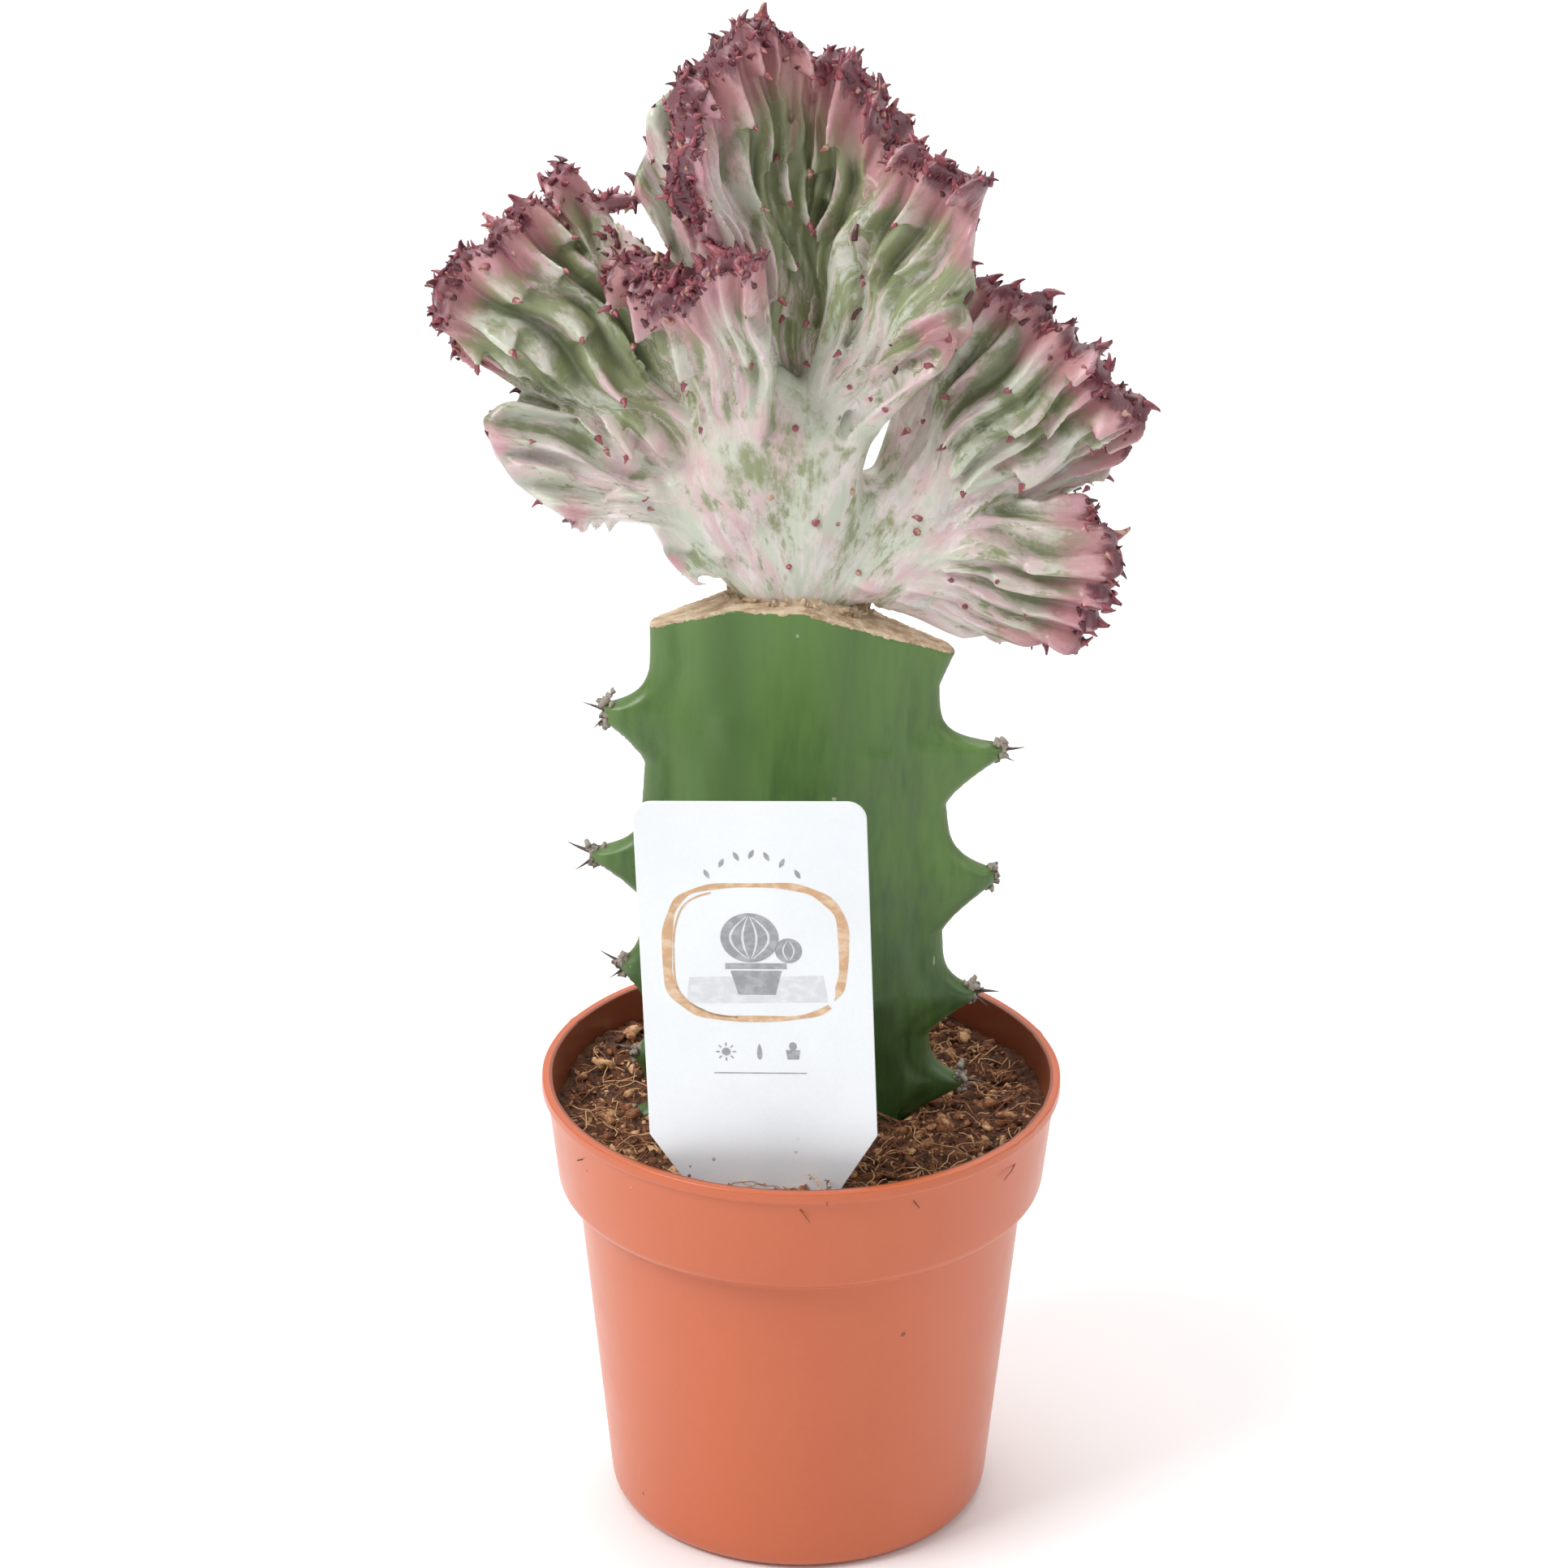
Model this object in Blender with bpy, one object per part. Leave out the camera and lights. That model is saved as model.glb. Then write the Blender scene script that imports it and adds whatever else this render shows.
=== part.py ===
"""Grafted crested euphorbia in a round nursery pot, with a push-in label.

Metres, +Z up, right-handed.  The origin is on the ground at the centre of the pot's base.
The label stands on the -Y side of the stem.  One object per physical piece:
pot, soil, rootstock, crest and label.
"""
import math

import bmesh
import bpy
import numpy as np
from mathutils import Vector
from mathutils import noise

MM = 0.001

# Pot: one thin moulding, a tapered body under a wider collar with a small outward lip.
POT_HEIGHT = 94.5 * MM
POT_WALL = 1.1 * MM
POT_BASE_THICKNESS = 1.3 * MM
LIP_RADIUS = 52.5 * MM
LIP_DEPTH = 2.2 * MM
COLLAR_TOP_RADIUS = 51.3 * MM
COLLAR_FOOT_RADIUS = 49.2 * MM
COLLAR_DEPTH = 22.6 * MM
BODY_TOP_RADIUS = 45.4 * MM
BODY_FOOT_RADIUS = 38.6 * MM
FOOT_ROUNDING = 4.0 * MM
FOOT_RING_WIDTH = 5.0 * MM
BASE_DISC_RADIUS = 13.0 * MM
BASE_CHANNEL_RISE = 1.6 * MM
DRAIN_HOLE_RADIUS = 3.2 * MM
DRAIN_HOLE_COUNT = 6
POT_SEGMENTS = 60

# Soil: fills the pot to a little under the lip.
SOIL_DROP = 9.0 * MM
SOIL_CLEARANCE = 0.3 * MM
SOIL_LUMP = 1.6 * MM
SOIL_LUMP_PITCH = 11.0 * MM
SOIL_MOUND = 2.6 * MM
SOIL_SEGMENTS = 44
SOIL_RINGS = 9

# Rootstock: a three-winged stem, wings to -X, +X and +Y, nearly flat on the -Y side.
STEM_BURIED = 34.0 * MM
STEM_RISE = 111.5 * MM
STEM_LEFT_REACH = 31.6 * MM
STEM_RIGHT_REACH = 28.2 * MM
STEM_BACK_REACH = 27.0 * MM
STEM_FRONT_DEPTH = 7.0 * MM
STEM_HOLLOW_DEPTH = 8.5 * MM
WING_ROOT_THICKNESS = 10.0 * MM
WING_EDGE_THICKNESS = 5.6 * MM
STEM_FOOT_SHARE = 0.5
TOOTH_SHOULDER = 3.0 * MM
TOOTH_SKIRT = 9.5 * MM
# Teeth as (height above the soil, reach beyond the wing), in millimetres, one list per wing.
LEFT_TEETH = ((89.0, 8.0), (58.0, 10.0), (33.0, 5.5), (13.5, 3.5), (-7.0, 3.0))
RIGHT_TEETH = ((81.0, 10.5), (54.0, 9.8), (27.5, 8.0), (7.5, 8.5))
BACK_TEETH = ((96.0, 7.0), (71.0, 9.0), (45.0, 9.0), (20.0, 7.5), (-2.0, 5.0))

# Graft: the stem's top is a level seat with the wings pared away on both sides.
SEAT_LEFT = -13.5 * MM
SEAT_RIGHT = 0.0 * MM
LEFT_PARE_SLOPE = 0.31
RIGHT_PARE_SLOPE = 0.35
GRAFT_CLEARANCE = 0.3 * MM

# Crest: the fan grown from the graft.
CREST_WIDTH = 136.0 * MM
CREST_HEIGHT = 117.5 * MM
CREST_CENTRE_X = -3.6 * MM
CREST_DEPTH_SCALE = 1.0
TRUNK_HALF_WIDTH = 12.6 * MM
TRUNK_HALF_DEPTH = 6.4 * MM
TRUNK_CENTRE_X = -1.0 * MM
TRUNK_CENTRE_Y = 3.2 * MM
TRUNK_RISE = 17.0 * MM
TRUNK_SPREAD = 1.3
LOBE_ROOT_HALF_THICKNESS = 7.2 * MM
LOBE_RIM_HALF_THICKNESS = 2.1 * MM
LOBE_THINNING = 24.0 * MM
LOBE_EDGE_ROUNDING = 3.2 * MM
RIB_PITCH = 7.5 * MM
RIB_HEIGHT = 1.4 * MM
CREST_GRAIN = 1.5 * MM
CREST_THINNING_SHARE = 0.20

# Each lobe fans out from a short root line to its rim: (x, depth, height above the graft seat),
# in millimetres for a fan CREST_WIDTH by CREST_HEIGHT, clockwise from the lower left.
LEFT_ROOT = ((-8.0, 3.0, 6.0), (-5.0, 1.5, 15.0))
LEFT_RIM = (
    (-14, 2, 5), (-23, 0, 7), (-27.5, -2, 10), (-25.5, 0, 14), (-30.5, -2, 22.5), (-36, -3, 24),
    (-45.5, -8, 20), (-54.5, -8, 27), (-60, -6, 34), (-62.5, -4, 40), (-56, 2, 40),
    (-62.5, 3, 46), (-68.5, 2, 53), (-71.5, -4, 66), (-64, -2, 72), (-55.5, 4, 77),
    (-47.5, 8, 81.5), (-41.5, 9, 77.5), (-35, 10, 77.5), (-34, 0, 71.5), (-29.5, -10, 69.5),
    (-22.5, -17, 68),
)
FRONT_LEFT_ROOT = ((-6.0, 1.5, 12.0), (-4.0, 0.5, 14.0))
FRONT_LEFT_RIM = ((-29.5, -10, 69.5), (-22.5, -17, 68), (-17, -22, 76), (-7.5, -26, 78))
CROWN_ROOT = ((-5.0, 4.0, 12.0), (4.0, 4.0, 12.0))
CROWN_RIM = (
    (-24.5, -1, 74), (-32, 4, 85), (-30, 2, 94), (-29, -1, 100), (-23.5, -5, 106),
    (-18, -5, 112.5), (-10.5, 0, 117.5), (-3, 5, 111), (-1.5, 8, 105), (7, 3, 110),
    (12, -2, 104), (15, -3, 98), (12.5, 6, 92),
)
SHELF_ROOT = ((-4.0, 1.0, 13.0), (3.0, 1.0, 13.0))
SHELF_RIM = (
    (-17.5, -11, 76), (-16, -14, 88), (-14, -14, 101), (-7.5, -12, 106), (1.5, -11, 105),
    (7, -9, 102), (10, -6, 91),
)
FRONT_RIGHT_ROOT = ((1.0, 1.5, 12.0), (6.0, 0.5, 11.0))
FRONT_RIGHT_RIM = (
    (12.5, 6, 92), (18, -4, 94.5), (25.5, -12, 92), (32.5, -18, 89), (31.5, -16, 77.5),
    (31, -14, 70), (27, -17, 60), (19.5, -12, 46), (14.5, -8, 37),
)
RIGHT_ROOT = ((4.0, 4.0, 12.0), (8.0, 3.5, 7.0))
RIGHT_RIM = (
    (17, 4, 38), (26.5, 8, 57), (32, 8, 62), (38.5, 2, 63.5), (45.5, -5, 60.5), (53.5, -8, 55),
    (60.5, -4, 45), (64.5, 0, 41), (63.5, 4, 31.5), (59, 5, 25), (53, 4, 21.5), (46, 3, 16.5),
)
LOW_RIGHT_ROOT = ((6.0, 3.0, 8.0), (7.0, 3.0, 4.5))
LOW_RIGHT_RIM = (
    (40.5, -2, 16.5), (47, 2, 16), (55, -2, 19.5), (61.5, -8, 14.5), (59, -6, 5), (54.5, -4, -5.5),
    (38.5, 0, -8.5), (31.5, 0, -4.5), (24.5, 0, 3), (19, 0, 2), (12, 1, 1),
)

# Label: a flat plate with rounded top corners and a pointed foot pushed into the soil.
LABEL_WIDTH = 44.5 * MM
LABEL_SHOULDER_RISE = 15.5 * MM
LABEL_HEIGHT_ABOVE_SHOULDER = 71.0 * MM
LABEL_POINT_LENGTH = 31.0 * MM
LABEL_POINT_WIDTH = 5.0 * MM
LABEL_THICKNESS = 0.7 * MM
LABEL_CORNER_RADIUS = 3.6 * MM
LABEL_CENTRE_X = -7.4 * MM
LABEL_Y = -40.0 * MM
LABEL_LEAN = math.radians(2.4)

SOIL_Z = POT_HEIGHT - SOIL_DROP
SEAT_Z = SOIL_Z + STEM_RISE


def clear_scene():
    """Remove every object that a new file starts with."""
    for obj in list(bpy.data.objects):
        bpy.data.objects.remove(obj, do_unlink=True)


def make_material(name, colour, roughness):
    """Return a Principled material of one plain colour."""
    material = bpy.data.materials.new(name)
    material.use_nodes = True
    shader = material.node_tree.nodes["Principled BSDF"]
    shader.inputs["Base Color"].default_value = (*colour, 1.0)
    shader.inputs["Roughness"].default_value = roughness
    return material


def add_object(name, vertices, faces, material, smooth=True):
    """Make a mesh object from vertices and faces, its faces turned outwards."""
    mesh = bpy.data.meshes.new(name)
    mesh.from_pydata([tuple(v) for v in vertices], [], faces)
    work = bmesh.new()
    work.from_mesh(mesh)
    bmesh.ops.remove_doubles(work, verts=work.verts, dist=0.01 * MM)
    bmesh.ops.recalc_face_normals(work, faces=work.faces)
    for face in work.faces:
        face.smooth = smooth
    work.to_mesh(mesh)
    work.free()
    obj = bpy.data.objects.new(name, mesh)
    bpy.context.collection.objects.link(obj)
    if material is not None:
        mesh.materials.append(material)
    return obj


def hide_guide(obj):
    """Keep a cutter out of the finished part."""
    obj.hide_render = True
    obj.display_type = 'WIRE'


def add_boolean(target, cutter, operation='DIFFERENCE'):
    """Cut or join one closed body with another."""
    modifier = target.modifiers.new(cutter.name, 'BOOLEAN')
    modifier.operation = operation
    modifier.solver = 'EXACT'
    modifier.object = cutter
    hide_guide(cutter)


def stack_rings(rings):
    """Return vertices and faces of a closed body through equal rings, capped at both ends."""
    count = len(rings[0])
    vertices = [point for ring in rings for point in ring]
    faces = []
    for level in range(len(rings) - 1):
        base = level * count
        for i in range(count):
            j = (i + 1) % count
            faces.append((base + i, base + j, base + count + j, base + count + i))
    faces.append(tuple(reversed(range(count))))
    faces.append(tuple(range(len(vertices) - count, len(vertices))))
    return vertices, faces


def pot_outer_profile():
    """Outer side of the pot from the lip down to the foot, as (radius, height)."""
    collar_foot_z = POT_HEIGHT - COLLAR_DEPTH
    step = COLLAR_FOOT_RADIUS - BODY_TOP_RADIUS
    return [
        (LIP_RADIUS - 0.5 * MM, POT_HEIGHT),
        (LIP_RADIUS, POT_HEIGHT - 0.5 * MM),
        (LIP_RADIUS, POT_HEIGHT - LIP_DEPTH + 0.4 * MM),
        (COLLAR_TOP_RADIUS, POT_HEIGHT - LIP_DEPTH - 0.5 * MM),
        (COLLAR_FOOT_RADIUS, collar_foot_z),
        (COLLAR_FOOT_RADIUS - 0.25 * step, collar_foot_z - 0.9 * MM),
        (BODY_TOP_RADIUS, collar_foot_z - 1.6 * MM),
        (BODY_FOOT_RADIUS, FOOT_ROUNDING),
        (BODY_FOOT_RADIUS - 0.3 * FOOT_ROUNDING, 0.3 * FOOT_ROUNDING),
        (BODY_FOOT_RADIUS - FOOT_ROUNDING, 0.0),
    ]


def pot_inner_profile():
    """Inner side of the pot from the floor up to the lip, as (radius, height)."""
    collar_foot_z = POT_HEIGHT - COLLAR_DEPTH
    inner_foot = BODY_FOOT_RADIUS - POT_WALL
    return [
        (inner_foot - FOOT_ROUNDING, POT_BASE_THICKNESS + BASE_CHANNEL_RISE),
        (inner_foot - 0.2 * FOOT_ROUNDING, POT_BASE_THICKNESS + 0.8 * FOOT_ROUNDING),
        (BODY_TOP_RADIUS - POT_WALL, collar_foot_z - 1.0 * MM),
        (COLLAR_FOOT_RADIUS - POT_WALL, collar_foot_z + 0.9 * MM),
        (COLLAR_TOP_RADIUS - POT_WALL, POT_HEIGHT - LIP_DEPTH),
        (COLLAR_TOP_RADIUS - POT_WALL + 0.3 * MM, POT_HEIGHT),
    ]


def pot_profile():
    """Whole pot profile: outer side down, underside inwards, floor and inner side up."""
    ring_inner = BODY_FOOT_RADIUS - FOOT_ROUNDING - FOOT_RING_WIDTH
    underside = [
        (ring_inner, 0.0),
        (ring_inner - 1.0 * MM, BASE_CHANNEL_RISE),
        (BASE_DISC_RADIUS + 1.0 * MM, BASE_CHANNEL_RISE),
        (BASE_DISC_RADIUS, 0.0),
        (0.0, 0.0),
    ]
    floor_z = POT_BASE_THICKNESS + BASE_CHANNEL_RISE
    return pot_outer_profile() + underside + [(0.0, floor_z)] + pot_inner_profile()


def add_pot(material):
    """Turn the pot profile about +Z and pierce the drain holes."""
    profile = pot_profile()
    mesh = bpy.data.meshes.new("pot")
    edges = [(i, (i + 1) % len(profile)) for i in range(len(profile))]
    edges = [edge for edge in edges if not (profile[edge[0]][0] == 0.0 == profile[edge[1]][0])]
    mesh.from_pydata([(radius, 0.0, height) for radius, height in profile], edges, [])
    pot = bpy.data.objects.new("pot", mesh)
    bpy.context.collection.objects.link(pot)
    mesh.materials.append(material)
    screw = pot.modifiers.new("turn", 'SCREW')
    screw.axis = 'Z'
    screw.steps = POT_SEGMENTS
    screw.render_steps = POT_SEGMENTS
    screw.use_merge_vertices = True
    screw.merge_threshold = 0.00001
    screw.use_smooth_shade = True
    middle = 0.5 * (BASE_DISC_RADIUS + BODY_FOOT_RADIUS - FOOT_ROUNDING - FOOT_RING_WIDTH)
    for index in range(DRAIN_HOLE_COUNT):
        angle = math.tau * (index + 0.5) / DRAIN_HOLE_COUNT
        centre = (middle * math.cos(angle), middle * math.sin(angle))
        cutter = add_post(f"drain_cutter_{index}", centre, DRAIN_HOLE_RADIUS, -5.0 * MM, 8.0 * MM)
        add_boolean(pot, cutter)
    return pot


def add_post(name, centre, radius, low, high):
    """Add an upright round post, used as a cutter."""
    rings = []
    for height in (low, high):
        ring = []
        for step in range(16):
            angle = math.tau * step / 16
            x = centre[0] + radius * math.cos(angle)
            y = centre[1] + radius * math.sin(angle)
            ring.append((x, y, height))
        rings.append(ring)
    return add_object(name, *stack_rings(rings), None)


def tooth_bulge(height, teeth):
    """Reach of the nearest tooth at a height above the soil: steep above its tip, long below."""
    reach = 0.0
    for tooth_height, tooth_reach in teeth:
        drop = tooth_height * MM - height
        if drop < 0.0:
            share = math.exp(drop / TOOTH_SHOULDER)
        else:
            share = max(0.0, 1.0 - drop / TOOTH_SKIRT) ** 1.4
        reach = max(reach, share * tooth_reach * MM)
    return reach


def stem_levels():
    """Heights above the soil of the stem's sections, closer together at the teeth."""
    levels = {-STEM_BURIED, STEM_RISE + 4.0 * MM}
    for teeth in (LEFT_TEETH, RIGHT_TEETH, BACK_TEETH):
        for tooth_height, _ in teeth:
            for offset in (4.5, 1.8, 0.0, -2.5, -5.5, -10.0):
                levels.add((tooth_height + offset) * MM)
    ordered = sorted(level for level in levels if level <= STEM_RISE + 4.0 * MM)
    spaced = [ordered[0]]
    for level in ordered[1:]:
        if level - spaced[-1] > 1.3 * MM:
            spaced.append(level)
    return spaced


def stem_section(height, grow):
    """Outline of the three-winged stem at a height above the soil, as (x, y) points."""
    narrowing = 1.0
    if height < 0.0:
        narrowing = 1.0 - STEM_FOOT_SHARE * (-height / STEM_BURIED) ** 1.3
    left = STEM_LEFT_REACH * narrowing + tooth_bulge(height, LEFT_TEETH)
    right = STEM_RIGHT_REACH * narrowing + tooth_bulge(height, RIGHT_TEETH)
    back = STEM_BACK_REACH * narrowing + tooth_bulge(height, BACK_TEETH)
    root = 0.5 * WING_ROOT_THICKNESS * narrowing
    edge = 0.5 * WING_EDGE_THICKNESS * narrowing
    front = STEM_FRONT_DEPTH * narrowing
    hollow = STEM_HOLLOW_DEPTH * narrowing
    inset = 0.9 * edge
    outline = [
        (0.0, -front), (0.35 * right, -1.2 * root), (0.7 * right, -0.5 * (root + edge)),
        (right - inset, -edge), (right, -0.35 * edge), (right, 0.35 * edge),
        (right - inset, edge), (0.6 * right, root), (hollow, hollow),
        (root, 0.6 * back), (edge, back - inset), (0.35 * edge, back),
        (-0.35 * edge, back), (-edge, back - inset), (-root, 0.6 * back),
        (-hollow, hollow), (-0.6 * left, root), (-left + inset, edge),
        (-left, 0.35 * edge), (-left, -0.35 * edge), (-left + inset, -edge),
        (-0.7 * left, -0.5 * (root + edge)), (-0.35 * left, -1.2 * root),
    ]
    return grow_outline(outline, grow)


def grow_outline(outline, grow):
    """Move a counter-clockwise outline outwards by a distance."""
    if grow == 0.0:
        return outline
    grown = []
    for index, (x, y) in enumerate(outline):
        before = outline[index - 1]
        after = outline[(index + 1) % len(outline)]
        tangent = Vector((after[0] - before[0], after[1] - before[1])).normalized()
        grown.append((x + grow * tangent.y, y - grow * tangent.x))
    return grown


def add_stem_body(name, grow, material):
    """Add the stem before its top is cut, grown outwards by a clearance."""
    levels = stem_levels()
    rings = []
    for index, level in enumerate(levels):
        height = level - grow if index == 0 else level
        ring = [(x, y, SOIL_Z + height) for x, y in stem_section(level, grow)]
        rings.append(ring)
    return add_object(name, *stack_rings(rings), material)


def seat_height(x):
    """Height of the cut across the top of the stem."""
    if x < SEAT_LEFT:
        return SEAT_Z - LEFT_PARE_SLOPE * (SEAT_LEFT - x)
    if x > SEAT_RIGHT:
        return SEAT_Z - RIGHT_PARE_SLOPE * (x - SEAT_RIGHT)
    return SEAT_Z


def add_seat_cutter(name, lift, above):
    """Add a block that ends at the graft seat, above it or below it."""
    far = 60.0 * MM
    stops = (-far, SEAT_LEFT, SEAT_RIGHT, far)
    line = [(x, seat_height(x) + lift) for x in stops]
    end_z = SEAT_Z + far if above else SEAT_Z - 1.3 * far
    outline = line + [(far, end_z), (-far, end_z)]
    rings = [[(x, y, z) for x, z in outline] for y in (-far, far)]
    return add_object(name, *stack_rings(rings), None)


def add_rootstock(material):
    """Add the stem with its top pared to the graft seat."""
    stem = add_stem_body("rootstock", 0.0, material)
    add_boolean(stem, add_seat_cutter("stem_top_cutter", 0.0, True))
    return stem


def soil_top(x, y):
    """Height of the lumpy soil surface, mounded a little towards the label."""
    fine = noise.noise(Vector((x, y, 0.0)) / SOIL_LUMP_PITCH + Vector((3.1, 7.7, 1.3)))
    coarse = noise.noise(Vector((x, y, 0.0)) / (2.6 * SOIL_LUMP_PITCH) + Vector((9.4, 2.2, 5.0)))
    reach = math.hypot(x - LABEL_CENTRE_X, y - LABEL_Y)
    mound = SOIL_MOUND * math.exp(-(reach / (22.0 * MM)) ** 2)
    return SOIL_Z + SOIL_LUMP * (0.7 * fine + coarse) + mound


def soil_wall():
    """Side of the soil from its foot up, one clearance inside the pot."""
    inner = pot_inner_profile()
    wall = [(radius - SOIL_CLEARANCE, height + SOIL_CLEARANCE) for radius, height in inner[:2]]
    wall += [(radius - SOIL_CLEARANCE, height) for radius, height in inner[2:4]]
    share = (SOIL_Z - inner[3][1]) / (inner[4][1] - inner[3][1])
    top_radius = inner[3][0] + share * (inner[4][0] - inner[3][0])
    return wall, top_radius - SOIL_CLEARANCE


def add_soil(material):
    """Fill the pot with soil and cut it clear of the stem and the label."""
    wall, top_radius = soil_wall()
    rings = []
    for radius, height in wall:
        rings.append([(radius, height)] * SOIL_SEGMENTS)
    for step in range(SOIL_RINGS):
        rings.append([(top_radius * (1.0 - step / SOIL_RINGS), None)] * SOIL_SEGMENTS)
    solid = []
    for ring in rings:
        points = []
        for index, (radius, height) in enumerate(ring):
            angle = math.tau * index / SOIL_SEGMENTS
            x = radius * math.cos(angle)
            y = radius * math.sin(angle)
            points.append((x, y, soil_top(x, y) if height is None else height))
        solid.append(points)
    soil = add_object("soil", *stack_rings(solid), material)
    add_boolean(soil, add_stem_body("stem_hole_cutter", SOIL_CLEARANCE, None))
    add_boolean(soil, add_label_plate("label_slot_cutter", SOIL_CLEARANCE, None))
    return soil


def label_outline(grow):
    """Outline of the label in its own plane, the shoulders' middle at (0, 0)."""
    half = 0.5 * LABEL_WIDTH + grow
    tip = 0.5 * LABEL_POINT_WIDTH + grow
    top = LABEL_HEIGHT_ABOVE_SHOULDER + grow
    outline = [(-tip, -LABEL_POINT_LENGTH - grow), (tip, -LABEL_POINT_LENGTH - grow), (half, 0.0)]
    for step in range(7):
        angle = math.radians(15.0 * step)
        x = half - LABEL_CORNER_RADIUS * (1.0 - math.cos(angle))
        outline.append((x, top - LABEL_CORNER_RADIUS * (1.0 - math.sin(angle))))
    mirrored = [(-x, z) for x, z in reversed(outline[2:])]
    return outline + mirrored


def add_label_plate(name, grow, material):
    """Add the label's plate, leaning in its own plane and grown by a clearance."""
    half_thickness = 0.5 * LABEL_THICKNESS + grow
    rings = []
    for side in (-half_thickness, half_thickness):
        ring = []
        for u, v in label_outline(grow):
            x = LABEL_CENTRE_X + u * math.cos(LABEL_LEAN) - v * math.sin(LABEL_LEAN)
            z = SOIL_Z + LABEL_SHOULDER_RISE + u * math.sin(LABEL_LEAN) + v * math.cos(LABEL_LEAN)
            ring.append((x, LABEL_Y + side, z))
        rings.append(ring)
    return add_object(name, *stack_rings(rings), material, smooth=False)


def crest_place(points):
    """Scale points drawn in millimetres to the crest's size and set them on the graft seat."""
    rims = np.array(LEFT_RIM + CROWN_RIM + FRONT_RIGHT_RIM + RIGHT_RIM + LOW_RIGHT_RIM, dtype=float)
    width_scale = CREST_WIDTH / (rims[:, 0].max() - rims[:, 0].min())
    height_scale = CREST_HEIGHT / rims[:, 2].max()
    middle = 0.5 * (rims[:, 0].max() + rims[:, 0].min())
    placed = np.array(points, dtype=float)
    x = CREST_CENTRE_X + (placed[:, 0] - middle) * width_scale
    y = placed[:, 1] * CREST_DEPTH_SCALE * MM
    z = SEAT_Z + placed[:, 2] * height_scale
    return np.stack([x, y, z], axis=1)


def resample(points, count):
    """Spread points evenly by length along a smooth line through the given ones."""
    ends = np.vstack([2 * points[0] - points[1], points, 2 * points[-1] - points[-2]])
    fine = []
    for index in range(len(points) - 1):
        p0, p1, p2, p3 = ends[index:index + 4]
        for t in np.linspace(0.0, 1.0, 8, endpoint=False):
            tangent_in = 0.5 * (p2 - p0) * 0.7
            tangent_out = 0.5 * (p3 - p1) * 0.7
            fine.append((2 * t**3 - 3 * t**2 + 1) * p1 + (t**3 - 2 * t**2 + t) * tangent_in
                        + (-2 * t**3 + 3 * t**2) * p2 + (t**3 - t**2) * tangent_out)
    fine.append(points[-1])
    fine = np.array(fine)
    lengths = np.concatenate([[0.0], np.cumsum(np.linalg.norm(np.diff(fine, axis=0), axis=1))])
    targets = np.linspace(0.0, lengths[-1], count)
    return np.stack([np.interp(targets, lengths, fine[:, k]) for k in range(3)], axis=1)


def lobe_grid(root, rim):
    """Points of a lobe's middle sheet, by place along the rim and by share of the way out."""
    rim_points = crest_place(rim)
    rim_length = np.linalg.norm(np.diff(rim_points, axis=0), axis=1).sum()
    across = max(8, int(rim_length / (2.0 * MM)))
    rim_line = resample(rim_points, across)
    root_ends = crest_place(root)
    share = np.linspace(0.0, 1.0, across)[:, None]
    root_line = root_ends[0] * (1.0 - share) + root_ends[1] * share
    out = np.linspace(0.0, 1.0, 32)[None, :, None]
    span = rim_line - root_line
    lift = 0.10 * np.linalg.norm(span, axis=1)[:, None] * np.array([[0.0, 0.0, 1.0]])
    bend = root_line + 0.5 * span + lift
    sheet = (1 - out) ** 2 * root_line[:, None] + 2 * out * (1 - out) * bend[:, None]
    return sheet + out ** 2 * rim_line[:, None]


def lobe_half_thickness(sheet):
    """Half thickness over a lobe: thick at the root, thin and rounded at the edges, ribbed."""
    steps_out = np.linalg.norm(np.diff(sheet, axis=1), axis=2)
    reach = np.concatenate([np.zeros((sheet.shape[0], 1)), np.cumsum(steps_out, axis=1)], axis=1)
    steps_across = np.linalg.norm(np.diff(sheet, axis=0), axis=2)
    lateral = np.concatenate([np.zeros((1, sheet.shape[1])), np.cumsum(steps_across, axis=0)], axis=0)
    swell = LOBE_ROOT_HALF_THICKNESS - LOBE_RIM_HALF_THICKNESS
    body = LOBE_RIM_HALF_THICKNESS + swell * np.exp(-reach / LOBE_THINNING)
    ribs = 0.5 + 0.5 * np.cos(math.tau * lateral[:, -1:] / RIB_PITCH)
    body = body + RIB_HEIGHT * ribs * np.clip(reach / (30.0 * MM), 0.0, 1.0)
    to_edge = np.minimum(reach[:, -1:] - reach, np.minimum(lateral, lateral[-1:] - lateral))
    near = 1.0 - np.clip(to_edge / LOBE_EDGE_ROUNDING, 0.0, 1.0)
    return body * np.sqrt(1.0 - near ** 2)


def add_lobe(name, root, rim):
    """Add one lobe as a closed body, its front and back meeting along its edges."""
    sheet = lobe_grid(root, rim)
    half = lobe_half_thickness(sheet)
    across_vector = np.gradient(sheet, axis=0)
    out_vector = np.gradient(sheet, axis=1)
    normal = np.cross(across_vector, out_vector)
    normal /= np.maximum(np.linalg.norm(normal, axis=2, keepdims=True), 1e-12)
    front = sheet + normal * half[..., None]
    back = sheet - normal * half[..., None]
    rows, columns = half.shape
    vertices = np.concatenate([front.reshape(-1, 3), back.reshape(-1, 3)])
    faces = []
    offset = rows * columns
    for i in range(rows - 1):
        for j in range(columns - 1):
            a = i * columns + j
            b = a + columns
            faces.append((a, b, b + 1, a + 1))
            faces.append((offset + a, offset + a + 1, offset + b + 1, offset + b))
        a = i * columns
        faces.append((a, offset + a, offset + a + columns, a + columns))
    return add_object(name, vertices, faces, None)


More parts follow.
